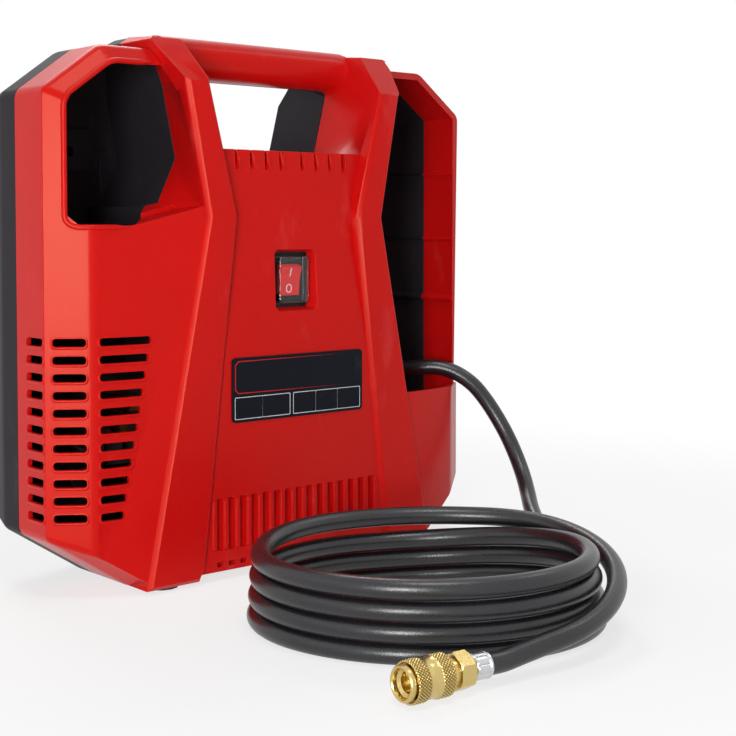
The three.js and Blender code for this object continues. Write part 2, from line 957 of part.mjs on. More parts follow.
function makeFrontShell() {
  const inside = frontBody(wall);
  const gap = centreGap(0);
  const leftRoom = bayRegion(-1, 0);
  const rightRoom = bayRegion(1, 0);
  let cavity = cut(inside, centreGap(wall), bayRegion(-1, wall), bayRegion(1, wall));
  const hollow = prism('x', handleSection(wall), -pillarInnerTop - cutOverrun, pillarInnerTop + cutOverrun);
  const handle = prism('x', handleSection(0), -pillarInnerTop - wall, pillarInnerTop + wall);
  const ahead = block(-farSide, farSide, -farSide, ySeam - fitGap / 2, -farSide, farSide);
  const outer = join(cut(frontBody(0), gap), handle.intersect(ahead));
  const ribBackY = panelY + ribGrooveDepth + wall;
  const ribHalf = innerEdgeAt(ribTopHeight) + wall;
  const thickening = block(-ribHalf, ribHalf, panelY + wall, ribBackY, wall, ribTopHeight + wall);
  const archBack = ySeam - 2 * wall;
  const archCover = block(-archHalf - wall, archHalf + wall, yFront, archBack + wall, 0, baseArch + wall);
  cavity = cut(cavity, thickening, archCover);
  const mouth = offset(silhouette, bayInset);
  const mouthTop = wingTopHeight - bayInset;
  const mouthSide = -halfWidth + bayInset;
  const ledge = bayLipHeight + bayLipRise;
  const leftMouth = [
    [mouthSide + bayCorner, bayLipHeight],
    [-bayLipBend, bayLipHeight],
    [-outerEdgeAt(ledge), ledge],
    [-outerEdgeAt(pillarShoulderHeight), pillarShoulderHeight],
    [-outerEdgeAt(mouthTop), mouthTop],
    mouth[4],
    mouth[5],
    [mouthSide, bayLipHeight + bayCorner],
  ];
  const rightMouth = [
    [outerEdgeAt(rightLipHeight), rightLipHeight],
    [halfWidth + cutOverrun, rightLipHeight],
    [halfWidth + cutOverrun, wingTopHeight + cutOverrun],
    [outerEdgeAt(wingTopHeight), wingTopHeight + cutOverrun],
    [outerEdgeAt(wingTopHeight), wingTopHeight],
    [outerEdgeAt(pillarShoulderHeight), pillarShoulderHeight],
    [outerEdgeAt(pillarWaistHeight), pillarWaistHeight],
  ];
  const linerRoom = bayRegion(-1, wall + fitGap).intersect(
    block(-farSide, 0, yLiner, ySeam + cutOverrun, 0, farSide),
  );
  const posts = join(
    housingPosts(yFront, ySeam - fitGap / 2),
    cradleRibs(yFront, machineBack - statorHalf - fitGap),
  ).intersect(cut(frontBody(wall / 2), centreGap(wall / 2)));
  const screwBores = screwPlaces.map(([, x, z]) => {
    return bar('y', postBore, ySeam - screwGrip - cutOverrun, ySeam + cutOverrun, x, z, 12);
  });
  const collar = switchCollar();
  let shell = cut(outer, cavity, hollow, linerRoom.intersect(inside));
  shell = join(shell, posts, collar);
  return cut(
    shell,
    leftRoom.intersect(inside),
    rightRoom.intersect(inside),
    prism('y', leftMouth, yFront - cutOverrun, ySideFacet),
    prism('y', rightMouth, yFront - cutOverrun, ySideFacet),
    sideVents(),
    deckSlots(),
    ribGrooves(),
    screwBores,
    switchRecess(),
    plateSeat(),
    block(-archHalf, archHalf, yFront - cutOverrun, archBack, -cutOverrun, baseArch),
    footHoles(),
    bushHole(),
  );
}

function makeRearShell() {
  const inside = rearBody(wall);
  const gap = centreGap(0);
  const cavity = cut(inside, centreGap(wall), bayRegion(-1, wall), bayRegion(1, wall));
  const behind = block(-farSide, farSide, ySeam + fitGap / 2, farSide, -farSide, farSide);
  const handle = prism('x', handleSection(0), -pillarInnerTop - wall, pillarInnerTop + wall);
  const hollow = prism('x', handleSection(wall), -pillarInnerTop - cutOverrun, pillarInnerTop + cutOverrun);
  const seam = ySeam + fitGap / 2;
  const slab = (low, high) => block(-farSide, 0, low, high, 0, farSide);
  const linerBody = join(
    frontSkin(wall + fitGap).intersect(slab(yLiner + fitGap, seam + wall)),
    rearBody(wall / 2).intersect(slab(seam, seam + wall)),
  ).intersect(bayRegion(-1, wall));
  const linerSpace = join(
    frontSkin(2 * wall).intersect(slab(yLiner - cutOverrun, seam + wall)),
    inside.intersect(slab(seam + wall, farSide)),
  ).intersect(bayRegion(-1, 0));
  const outer = join(cut(rearBody(0), gap), handle.intersect(behind));
  const seat = frameBack + frameBackThickness + fitGap;
  const framePosts = [innerWallBack, frameRight - frameWall].flatMap((x) => {
    const heights = [frameFloor + 2 * frameWall, deckTop - 2 * frameWall];
    return heights.map((z) => bar('y', postRadius, seat, yRear - wall / 2, x, z, 12));
  });
  const ribs = cradleRibs(machineBack + statorHalf + fitGap, yRear - wall / 2);
  const posts = join(housingPosts(ySeam + fitGap / 2, yRear - wall / 2), framePosts, ribs);
  const bossFace = yRear - wall - bossProud;
  const bossOutline = chamferedBox(2 * bossHalf, 2 * bossHalf, bossCorner, -bossX, bossHeight);
  const boss = prism('y', bossOutline, bossFace, yRear - wall / 2);
  const screwBores = screwPlaces.flatMap(([, x, z]) => [
    bar('y', screwShank + fitGap, ySeam - cutOverrun, yRear + cutOverrun, x, z, 12),
    bar('y', screwHead + fitGap, yRear - screwSink, yRear + cutOverrun, x, z, 12),
  ]);
  const shell = join(cut(outer, cavity, hollow), linerBody, posts);
  return cut(
    join(cut(shell, linerSpace, bayRegion(1, 0).intersect(inside)), boss),
    bar('y', bossHole, bossFace - cutOverrun, bossFace + bossHoleDepth, -bossX, bossHeight, 12),
    rearVents(),
    screwBores,
    bar('y', mainsRadius + fitGap, mainsSeat - cutOverrun, yRear + cutOverrun, mainsX, mainsHeight),
    bushHole(),
    footHoles(),
  );
}

const mainsSeat = yRear - wall;
const fittingWallX = outerEdgeAt(fittingHeight) - bayWallDraft;

function bushHole() {
  const radius = bushTaperRadius + fitGap;
  return bar('x', radius, fittingWallX - 2 * wall, fittingWallX + wall, fittingBack, fittingHeight);
}

function footHoles() {
  return footPlaces.map(([, x, y]) => bar('z', footNeck + fitGap, -cutOverrun, wall + cutOverrun / 2, x, y));
}

function makeFoot(x, y) {
  const seat = wall + fitGap;
  const profile = [
    [0, -footProud],
    [footRadius - fitGap, -footProud],
    [footRadius, -fitGap - footProud / 2],
    [footRadius, -fitGap],
    [footNeck, -fitGap],
    [footNeck, seat],
    [footBarb, seat],
    [footNeck, seat + footBarbLength],
    [0, seat + footBarbLength],
  ];
  return turned('z', profile, x, y, 12);
}

function makeScrew(x, z) {
  const seat = yRear - screwSink + fitGap;
  const profile = [
    [0, ySeam - screwGrip],
    [screwShank, ySeam - screwGrip + screwShank],
    [screwShank, seat],
    [screwHead, seat],
    [screwHead, seat + screwHeadLength],
    [0, seat + screwHeadLength],
  ];
  return turned('y', profile, x, z, 12);
}

// Switch and nameplate, set in the panel

const switchY = panelYAt(switchHeight);
const switchFace = switchY + recessDepth;

function switchCollar() {
  const frame = chamferedBox(bezelWidth + collarWall, bezelTall + collarWall, bezelCorner, 0, switchHeight);
  return prism('y', frame, switchY + wall / 2, switchFace);
}

function switchRecess() {
  const mouthOutline = chamferedBox(recessWidth, recessTall, recessCorner, 0, switchHeight);
  return loft('y', [
    { outline: offset(mouthOutline, -recessDraft / 2), at: switchY - wall },
    { outline: offset(mouthOutline, recessDraft), at: switchFace + cutOverrun / 2 },
  ]);
}

function plateSeat() {
  const outline = chamferedBox(
    plateWidth + 2 * fitGap,
    plateHeight + 2 * fitGap,
    plateCorner,
    0,
    plateFoot + plateHeight / 2,
  );
  const depth = plateThickness - plateProud + fitGap;
  return prism('y', outline, yFront - cutOverrun, panelY + depth);
}

function makeNameplate() {
  const outline = chamferedBox(plateWidth, plateHeight, plateCorner, 0, plateFoot + plateHeight / 2);
  return prism('y', outline, panelY - plateProud, panelY + plateThickness - plateProud);
}

function makeSwitchHousing() {
  const front = switchFace + fitGap;
  const flangeOutline = chamferedBox(bezelWidth, bezelTall, bezelCorner, 0, switchHeight);
  const flange = prism('y', flangeOutline, front, front + bezelThickness);
  const bodyOutline = chamferedBox(switchBodyWidth, switchBodyTall, bezelCorner, 0, switchHeight);
  const body = prism('y', bodyOutline, front, front + switchBodyDepth);
  const well = block(
    -rockerWidth / 2 - fitGap,
    rockerWidth / 2 + fitGap,
    front - cutOverrun,
    front + rockerDepth + rockerProud,
    switchHeight - rockerTall / 2 - rockerPlay,
    switchHeight + rockerTall / 2 + rockerPlay,
  );
  const pinReach = rockerWidth / 2 + rockerPin + fitGap;
  const pinHole = bar('x', rockerPin + fitGap, -pinReach, pinReach, rockerAxisY, switchHeight, 12);
  return cut(join(flange, body), well, pinHole);
}

const rockerAxisY = switchFace + fitGap + rockerDepth / 2;

// The rocker rests with its lower end pressed in
function makeRocker() {
  const front = -rockerDepth / 2;
  const back = rockerDepth / 2 - rockerProud;
  const tall = rockerTall / 2;
  const outline = [
    [front - rockerProud / 2, 0],
    [front - rockerProud, tall - rockerProud / 2],
    [front + rockerProud, tall],
    [back, tall / 2],
    [back, -tall / 2],
    [front + rockerProud, -tall],
    [front - rockerProud, rockerProud / 2 - tall],
  ];
  const body = prismGeometry('x', outline, -rockerWidth / 2, rockerWidth / 2);
  body.rotateX(rockerTiltDegrees * degrees).translate(0, rockerAxisY, switchHeight);
  const reach = rockerWidth / 2 + rockerPin;
  return join(solid(body), bar('x', rockerPin, -reach, reach, rockerAxisY, switchHeight, 12));
}

function makeSwitchCover() {
  const back = switchFace;
  const outline = chamferedBox(coverWidth, coverTall, coverCorner, 0, switchHeight);
  const cap = loft('y', [
    { outline, at: back },
    { outline, at: back - coverProud + coverWall },
    { outline: offset(outline, coverWall), at: back - coverProud },
  ]);
  const clear = 2 * coverWall;
  const corner = coverCorner / 2;
  const inner = chamferedBox(coverWidth - clear, coverTall - clear, corner, 0, switchHeight);
  return cut(cap, prism('y', inner, back - coverProud + coverWall, back + cutOverrun));
}

// Gears: involute flanks, with some play between the teeth

function gearOutline(teeth, phase, centreU, centreV) {
  const pitch = pitchRadius(teeth);
  const base = pitch * Math.cos(pressureAngleDegrees * degrees);
  const root = pitch - dedendumShare * gearModule;
  const tip = pitch + addendumShare * gearModule;
  const involute = (radius) => {
    const angle = Math.acos(Math.min(1, base / radius));
    return Math.tan(angle) - angle;
  };
  const halfAt = (radius) => {
    const half = (Math.PI / teeth) * toothShare;
    return half + involute(pitch) - involute(Math.max(radius, base));
  };
  const points = [];
  for (let tooth = 0; tooth < teeth; tooth++) {
    const centre = phase + (2 * Math.PI * tooth) / teeth;
    const flank = [root, tip].map((radius) => [radius, halfAt(radius)]);
    const sides = [
      ...flank.map(([radius, half]) => [radius, centre - half]),
      ...[...flank].reverse().map(([radius, half]) => [radius, centre + half]),
    ];
    sides.forEach(([radius, angle]) => {
      points.push([centreU + radius * Math.cos(angle), centreV + radius * Math.sin(angle)]);
    });
  }
  return points.filter(([u, v], i) => {
    const [lastU, lastV] = points[(i + points.length - 1) % points.length];
    return Math.hypot(u - lastU, v - lastV) > 1e-4;
  });
}

function makeCrankGear() {
  const downwards = -Math.PI / 2;
  const disc = prism('x', gearOutline(gearTeeth, downwards, machineBack, crankHeight), gearBack, gearFace);
  const holes = [];
  const holeRadius = crankShaftRadius;
  for (let i = 0; i < 6; i++) {
    const angle = (Math.PI * i) / 3;
    const reach = pitchRadius(gearTeeth) - gearModule - 2 * crankShaftRadius;
    const y = machineBack + reach * Math.cos(angle);
    const z = crankHeight + reach * Math.sin(angle);
    holes.push(bar('x', holeRadius, gearBack - cutOverrun, gearFace + cutOverrun, y, z, 10));
  }
  const shaft = bar('x', crankShaftRadius + fitGap, gearBack - cutOverrun, gearFace + cutOverrun,
    machineBack, crankHeight);
  return cut(disc, holes, shaft);
}

function makePinion() {
  const upwards = Math.PI / 2 + Math.PI / pinionTeeth;
  const teeth = gearOutline(pinionTeeth, upwards, machineBack, motorHeight);
  const blank = prism('x', teeth, gearBack, gearFace);
  return cut(blank, bar('x', pinionSeat + fitGap, gearBack - cutOverrun, gearFace + cutOverrun,
    machineBack, motorHeight));
}

// Crankshaft: shaft, web with its counterweight, and a boss that meets the crank pin's end
function makeCrankshaft() {
  const shaftEnd = outerWallBack - crankShaftRadius / 2;
  const shaft = bar('x', crankShaftRadius, shaftEnd, webFace, machineBack, crankHeight);
  const pinBoss = bar('x', webHub, webBack, webFace, machineBack, crankHeight + crankThrow);
  const weight = bar('x', webRadius, webBack, webFace, machineBack, crankHeight, 24);
  const half = block(webBack - cutOverrun, webFace + cutOverrun, -farSide, farSide,
    crankHeight - crankThrow / 4, farSide);
  return join(shaft, pinBoss, cut(weight, half));
}

function makeCrankPin() {
  const head = -rodFace + crankPinHeadLength;
  return turned('x', [
    [0, rodFace - fitGap],
    [crankPinRadius, rodFace - fitGap],
    [crankPinRadius, -rodFace + fitGap],
    [crankPinHead, -rodFace + fitGap],
    [crankPinHead, head],
    [0, head],
  ], machineBack, crankHeight + crankThrow, 16);
}

function makeRod() {
  const big = crankHeight + crankThrow;
  const half = rodThickness / 2;
  const web = rodWebThickness / 2;
  const ends = [
    bar('x', rodBigEnd, -half, half, machineBack, big, 20),
    bar('x', rodSmallEnd, -half, half, machineBack, gudgeonHeight, 16),
  ];
  const left = machineBack - rodShankWidth / 2;
  const right = machineBack + rodShankWidth / 2;
  const shank = block(-web, web, left, right, big, gudgeonHeight);
  return cut(
    join(ends, shank),
    bar('x', bearingOuter + fitGap, -rodThickness, rodThickness, machineBack, big, 20),
    bar('x', gudgeonRadius + fitGap, -rodThickness, rodThickness, machineBack, gudgeonHeight, 16),
  );
}

function makeBearing(inner, outer, low, high, height, sides = 16) {
  return turned('x', ringProfile(inner, outer, low, high), machineBack, height, sides);
}

function makePiston() {
  const radius = bore / 2 - pistonClearance;
  const top = crownHeight;
  const foot = top - pistonHeight;
  const grooveTop = top - ringFromCrown;
  const grooveFoot = grooveTop - ringHeight - 2 * fitGap;
  const groove = radius - ringDepth - fitGap;
  const cup = turned('z', [
    [0, top - pistonCrown],
    [radius - pistonWall - ringDepth, top - pistonCrown],
    [radius - pistonWall - ringDepth, grooveFoot - pistonWall],
    [radius - pistonWall, grooveFoot - 2 * pistonWall],
    [radius - pistonWall, foot],
    [radius, foot],
    [radius, grooveFoot],
    [groove, grooveFoot],
    [groove, grooveTop],
    [radius, grooveTop],
    [radius, top],
    [0, top],
  ], 0, machineBack, cylinderSides);
  const bossOuter = radius - pistonWall;
  const bossInner = rodThickness / 2 + 2 * fitGap;
  const bosses = [-1, 1].map((side) => {
    const low = side > 0 ? bossInner : -bossOuter;
    const high = side > 0 ? bossOuter : -bossInner;
    return bar('x', pistonBoss, low, high, machineBack, gudgeonHeight);
  });
  return cut(
    join(cup, bosses),
    bar('x', gudgeonRadius + fitGap, -bore, bore, machineBack, gudgeonHeight),
  );
}

function makePistonRing() {
  const outer = bore / 2 - fitGap;
  const high = crownHeight - ringFromCrown - fitGap;
  const inner = bore / 2 - pistonClearance - ringDepth;
  return turned('z', ringProfile(inner, outer, high - ringHeight, high), 0, machineBack, cylinderSides);
}

function makeCylinder() {
  const inner = bore / 2;
  const outer = inner + cylinderWall;
  const profile = [
    [inner, cylinderFoot],
    [outer + cylinderWall, cylinderFoot],
    [outer + cylinderWall, cylinderFoot + cylinderWall],
    [outer, cylinderFoot + cylinderWall],
  ];
  for (let i = 0; i < finCount; i++) {
    const low = cylinderFoot + finStart + i * finPitch;
    profile.push([outer, low], [finRadius, low], [finRadius, low + finThickness]);
    profile.push([outer, low + finThickness]);
  }
  profile.push([outer, cylinderTop], [inner, cylinderTop], [inner, cylinderFoot]);
  return turned('z', profile, 0, machineBack, cylinderSides);
}

const boltPlaces = [
  ['front_left', -boltSpread, machineBack - boltSpread],
  ['front_right', boltSpread, machineBack - boltSpread],
  ['rear_left', -boltSpread, machineBack + boltSpread],
  ['rear_right', boltSpread, machineBack + boltSpread],
];
const boltHoles = (low, high) =>
  boltPlaces.map(([, x, y]) => bar('z', boltShank + fitGap, low, high, x, y, 12));
const valvePlateFoot = cylinderTop + fitGap;
const valvePlateTop = valvePlateFoot + valvePlateThickness;
const headFoot = valvePlateTop + fitGap;
const headTop = headFoot + headHeight;
const flangeTop = headFoot + headFlange;
const portSize = pipeRadius + 2 * fitGap;
const portHeight = headFoot + headPocket / 2 + portRise;

function makeValvePlate() {
  const outline = chamferedBox(plateSide, plateSide, plateSideCorner, 0, machineBack);
  const ports = [-1, 1].map((side) =>
    bar('z', portRadius, valvePlateFoot - cutOverrun, headFoot, side * portSpread, machineBack, 12));
  return cut(
    prism('z', outline, valvePlateFoot, valvePlateTop),
    ports,
    boltHoles(valvePlateFoot - cutOverrun, headFoot),
  );
}

function makeReed(x, low) {
  const outline = chamferedBox(reedWidth, reedLength, reedCorner, x, machineBack);
  return prism('z', outline, low, low + reedThickness);
}

function makeHead() {
  const half = plateSide / 2;
  const comb = [];
  const fins = Math.floor((plateSide - headFinGap) / headFinPitch);
  const first = -((fins - 1) * headFinPitch) / 2;
  comb.push([-half, headFoot], [half, headFoot], [half, headTop]);
  for (let i = fins - 1; i >= 0; i--) {
    const middle = first + i * headFinPitch;
    comb.push([middle + headFinGap / 2, headTop], [middle + headFinGap / 2, headTop - headFinDepth]);
    comb.push([middle - headFinGap / 2, headTop - headFinDepth], [middle - headFinGap / 2, headTop]);
  }
  comb.push([-half, headTop]);
  const body = prism('y', comb, machineBack - half, machineBack + half);
  const inner = half - 2 * headWall - boltHead;
  const pocketTop = headFoot + headPocket;
  const pockets = [-1, 1].map((side) => {
    const low = side > 0 ? headWall / 2 : -inner;
    const high = side > 0 ? inner : -headWall / 2;
    return block(low, high, machineBack - inner, machineBack + inner, headFoot - cutOverrun, pocketTop);
  });
  const outlet = bar('x', portSize, headWall, half + cutOverrun, machineBack, portHeight, pipeSides);
  const relief = bar('y', portSize, machineBack, machineBack + half + cutOverrun,
    portSpread, portHeight, pipeSides);
  const inlet = bar('x', portSize, -half - cutOverrun, -headWall, machineBack, portHeight, pipeSides);
  const seats = boltPlaces.map(([, x, y]) => {
    return bar('z', boltHead + 2 * fitGap, flangeTop, headTop + cutOverrun, x, y, 12);
  });
  return cut(body, pockets, outlet, relief, inlet, seats, boltHoles(headFoot - cutOverrun, headTop));
}

function makeBolt(x, y) {
  const seat = flangeTop + fitGap;
  return turned('z', [
    [0, deckTop - boltGrip],
    [boltShank, deckTop - boltGrip],
    [boltShank, seat],
    [boltHead, seat],
    [boltHead, seat + boltHeadLength],
    [0, seat + boltHeadLength],
  ], x, y, 12);
}

// Pump frame: two bearing walls, an outer leg, a deck, a floor and a back plate in one casting
function makeFrame() {
  const low = machineBack - frameLegHalf;
  const back = frameBack + frameBackThickness;
  const deckFoot = deckTop - deckThickness;
  const motorFoot = motorHeight - motorBearingOuter - frameWall;
  const outerWall = block(outerWallBack, outerWallFace, low, back, motorFoot, deckTop);
  const innerFoot = motorHeight + pitchRadius(pinionTeeth) + 2 * gearModule;
  const innerWall = block(innerWallBack, innerWallFace, low, back, innerFoot, deckTop);
  const leg = block(frameRight - frameWall, frameRight, low, back, frameFloor, deckTop);
  const deck = block(outerWallBack, frameRight, low, back, deckFoot, deckTop);
  const floorTop = frameFloor + frameFloorThickness;
  const floor = block(innerWallBack, frameRight, low, back, frameFloor, floorTop);
  const backPlate = block(outerWallBack, frameRight, frameBack, back, frameFloor, deckTop);
  const casting = join(outerWall, leg, deck, backPlate, cut(join(innerWall, floor),
    block(innerWallBack - cutOverrun, innerWallFace, low - cutOverrun, frameBack, 0, innerFoot)));
  const bearingDepth = frameWall;
  const crankSeat = (x0, x1) => bar('x', crankBearingOuter + fitGap, x0, x1, machineBack, crankHeight, 20);
  const motorSeat = bar('x', motorBearingOuter + fitGap, outerWallBack - cutOverrun,
    outerWallBack + bearingDepth - fitGap, machineBack, motorHeight, 20);
  return cut(
    casting,
    crankSeat(outerWallBack - cutOverrun, outerWallFace + fitGap),
    crankSeat(innerWallBack - fitGap, innerWallFace + cutOverrun / 4),
    motorSeat,
    bar('x', shaftRadius + shaftPlay, outerWallBack, gearBack, machineBack, motorHeight),
    bar('z', bore / 2 + fitGap, deckFoot - cutOverrun, deckTop + cutOverrun, 0, machineBack, cylinderSides),
    boltHoles(deckFoot - cutOverrun, deckTop + cutOverrun),
    bar('x', webRadius, frameRight - frameWall - cutOverrun, frameRight + cutOverrun,
      machineBack, crankHeight, 20),
  );
}

// Motor

function makeStator() {
  const outline = chamferedBox(2 * statorHalf, 2 * statorHalf, statorCorner, machineBack, motorHeight);
  const stack = prism('x', outline, statorLeft, statorRight);
  const through = [statorLeft - cutOverrun, statorRight + cutOverrun];
  const pockets = [];
  for (const sideY of [-1, 1]) {
    for (const sideZ of [-1, 1]) {
      const ys = [machineBack + sideY * pocketInner, machineBack + sideY * pocketOuter];
      const zs = [motorHeight + sideZ * pocketLow, motorHeight + sideZ * pocketHigh];
      pockets.push(block(...through, Math.min(...ys), Math.max(...ys), Math.min(...zs), Math.max(...zs)));
    }
  }
  const room = bar('x', armatureRadius + airGap, ...through, machineBack, motorHeight, cylinderSides);
  return cut(stack, pockets, room);
}

function makeFieldCoil(side) {
  const zs = [motorHeight + side * (pocketLow + coilGap), motorHeight + side * (pocketHigh - coilGap)];
  const low = Math.min(...zs);
  const high = Math.max(...zs);
  const outer = pocketOuter - coilGap;
  const inner = pocketInner + coilGap;
  const turnWidth = coilOverhang - 2 * fitGap;
  const left = statorLeft - coilGap;
  const right = statorRight + coilGap;
  const ends = [left - turnWidth, right + turnWidth];
  const ring = block(...ends, machineBack - outer, machineBack + outer, low, high);
  const through = [low - cutOverrun, high + cutOverrun];
  return cut(ring, block(left, right, machineBack - inner, machineBack + inner, ...through));
}

function makeArmatureCore() {
  const core = bar('x', armatureRadius, statorLeft, statorRight, machineBack, motorHeight, cylinderSides);
  const slots = [];
  for (let i = 0; i < armatureSlots; i++) {
    const slot = new THREE.BoxGeometry(statorLength + 2 * cutOverrun, slotWidth, slotDepth + cutOverrun);
    slot.translate(0, 0, armatureRadius - slotDepth + (slotDepth + cutOverrun) / 2);
    slot.rotateX((2 * Math.PI * (i + 0.5)) / armatureSlots);
    slot.translate((statorLeft + statorRight) / 2, machineBack, motorHeight);
    slots.push(solid(slot));
  }
  const middle = bar('x', shaftRadius + fitGap, statorLeft - cutOverrun, statorRight + cutOverrun,
    machineBack, motorHeight);
  return cut(core, slots, middle);
}

function makeArmatureWinding() {
  const bars = [];
  const length = statorLength + 2 * (windingOverhang - windingEndInset);
  for (let i = 0; i < armatureSlots; i++) {
    const conductor = new THREE.BoxGeometry(length, slotWidth - 2 * fitGap, windingDepth);
    conductor.translate(0, 0, armatureRadius - slotDepth + fitGap + windingDepth / 2);
    conductor.rotateX((2 * Math.PI * (i + 0.5)) / armatureSlots);
    conductor.translate((statorLeft + statorRight) / 2, machineBack, motorHeight);
    bars.push(solid(conductor));
  }
  const heads = [
    [statorLeft - windingOverhang, statorLeft - fitGap],
    [statorRight + fitGap, statorRight + windingOverhang],
  ].map(([low, high]) => turned('x', ringProfile(shaftRadius + fitGap, windingRadius, low, high),
    machineBack, motorHeight, cylinderSides));
  return join(heads, bars);
}

function makeMotorShaft() {
  return turned('x', [
    [0, fanLeft - fitGap],
    [shaftRadius, fanLeft - fitGap],
    [shaftRadius, gearBack - fitGap],
    [pinionSeat, gearBack - fitGap],
    [pinionSeat, gearFace],
    [0, gearFace],
  ], machineBack, motorHeight, 16);
}

function makeCommutator() {
  const points = [];
  for (let i = 0; i < commutatorBars; i++) {
    const middle = (2 * Math.PI * i) / commutatorBars;
    const half = (Math.PI / commutatorBars) * commutatorBarShare;
    const gapRadius = commutatorRadius - commutatorGroove;
    const gapHalf = Math.PI / commutatorBars - half;
    points.push([commutatorRadius, middle - half], [commutatorRadius, middle + half]);
    points.push([gapRadius, middle + half], [gapRadius, middle + half + 2 * gapHalf]);
  }
  const outline = points.map(([radius, angle]) => [
    machineBack + radius * Math.cos(angle),
    motorHeight + radius * Math.sin(angle),
  ]);
  return cut(
    prism('x', outline, commutatorLeft, commutatorRight),
    bar('x', shaftRadius + fitGap, commutatorLeft - cutOverrun, commutatorRight + cutOverrun,
      machineBack, motorHeight),
  );
}

function makeFan() {
  const disc = bar('x', fanRadius, fanRight - fanDisc, fanRight, machineBack, motorHeight, cylinderSides);
  const hub = bar('x', fanHub, fanLeft, fanRight, machineBack, motorHeight);
  const blades = [];
  for (let i = 0; i < fanBlades; i++) {
    const length = fanRadius - fanHub + fanBladeRoot;
    const blade = new THREE.BoxGeometry(fanBlade + fanDisc, fanBladeThickness, length);
    blade.rotateX(fanBladeLeanDegrees * degrees);
    blade.translate((fanLeft + fanRight) / 2, 0, fanHub - fanBladeRoot + length / 2);
    blade.rotateX((2 * Math.PI * i) / fanBlades);
    blade.translate(0, machineBack, motorHeight);
    blades.push(solid(blade));
  }
  const shaft = bar('x', shaftRadius + fitGap, fanLeft - cutOverrun, fanRight + cutOverrun,
    machineBack, motorHeight);
  return cut(join(disc, hub, blades), shaft);
}

// Brush bracket: holds the rear bearing and the two brushes, and stands on the stator
function makeBracket() {
  const half = statorHalf - bracketInset;
  const cross = block(bracketLeft, bracketRight, machineBack - half, machineBack + half,
    motorHeight - bracketBar, motorHeight + bracketBar);
  const arms = [-1, 1].map((side) => {
    const ys = [machineBack + side * (half - bracketArm), machineBack + side * half];
    return block(bracketRight - bracketInset, statorLeft - fitGap, Math.min(...ys), Math.max(...ys),
      motorHeight - bracketBar, motorHeight + bracketBar);
  });
  const seat = bar('x', motorBearingOuter + fitGap + wall, bracketLeft, bracketRight,
    machineBack, motorHeight, 20);
  const brushX = (commutatorLeft + commutatorRight) / 2;
  const tubeWidth = brushWidth / 2 + fitGap + brushTube;
  const tubeTall = brushTall / 2 + fitGap + brushTube;
  const tubes = [-1, 1].map((side) => {
    const inner = commutatorRadius + 2 * wall / 3;
    const ys = [machineBack + side * inner, machineBack + side * (half - bracketInset)];
    return block(brushX - tubeWidth, brushX + tubeWidth, Math.min(...ys), Math.max(...ys),
      motorHeight - tubeTall, motorHeight + tubeTall);
  });
  const channel = block(brushX - brushWidth / 2 - fitGap, brushX + brushWidth / 2 + fitGap,
    machineBack - half - cutOverrun, machineBack + half + cutOverrun,
    motorHeight - brushTall / 2 - fitGap, motorHeight + brushTall / 2 + fitGap);
  return cut(
    join(cross, arms, seat, tubes),
    channel,
    bar('x', motorBearingOuter + fitGap, bracketLeft - cutOverrun, bracketRight + cutOverrun,
      machineBack, motorHeight, 20),
  );
}

function makeBrush(side) {
  const brushX = (commutatorLeft + commutatorRight) / 2;
  const inner = commutatorRadius + fitGap;
  const ys = [machineBack + side * inner, machineBack + side * (inner + brushLength)];
  return block(brushX - brushWidth / 2, brushX + brushWidth / 2, Math.min(...ys), Math.max(...ys),
    motorHeight - brushTall / 2, motorHeight + brushTall / 2);
}

// Outlet line: pipe from the head to the fitting behind the bay wall, and the hose's bush

function roundSection(radius, sides) {
  const shape = new THREE.Shape();
  for (let i = 0; i < sides; i++) {
    const angle = (2 * Math.PI * i) / sides;
    const point = [radius * Math.cos(angle), radius * Math.sin(angle)];
    if (i === 0) shape.moveTo(...point);
    else shape.lineTo(...point);
  }
  return shape;
}

function tube(points, radius, sides, steps) {
  const extrudePath = new THREE.CatmullRomCurve3(points);
  return new THREE.ExtrudeGeometry(roundSection(radius, sides), { steps, extrudePath });
}

const fittingLeft = fittingWallX - 2 * fittingRadius;

function makeOutletPipe() {
  const start = plateSide / 2 + fitGap - headWall;
  const runX = (plateSide / 2 + fittingLeft) / 2;
  const radius = 2 * pipeRadius;
  const points = [
    new THREE.Vector3(start, machineBack, portHeight),
    new THREE.Vector3(plateSide / 2 + fitGap, machineBack, portHeight),
    new THREE.Vector3(runX - radius, machineBack, portHeight),
    new THREE.Vector3(runX, machineBack, portHeight - radius),
    new THREE.Vector3(runX, machineBack, fittingHeight + 3 * radius),
    new THREE.Vector3(runX, (machineBack + fittingBack) / 2, fittingHeight + radius),
    new THREE.Vector3(runX + radius / 2, fittingBack, fittingHeight + radius / 8),
    new THREE.Vector3(fittingLeft - fitGap - radius / 2, fittingBack, fittingHeight),
    new THREE.Vector3(fittingLeft - fitGap, fittingBack, fittingHeight),
  ];
  return tube(points, pipeRadius, pipeSides, pipeSteps);
}

function makeOutletFitting() {
  const neck = fittingWallX - wall - 2 * fitGap;
  return turned('x', [
    [fittingBore, fittingLeft],
    [fittingRadius, fittingLeft],
    [fittingRadius, neck - wall],
    [hoseRadius, neck - wall],
    [hoseRadius, neck],
    [fittingBore, neck],
    [fittingBore, fittingLeft],
  ], fittingBack, fittingHeight, 16);
}

const bushStart = fittingWallX - wall;
const bushFlangeX = fittingWallX + bushFlangeLength;
const bushEnd = bushFlangeX + bushLength;

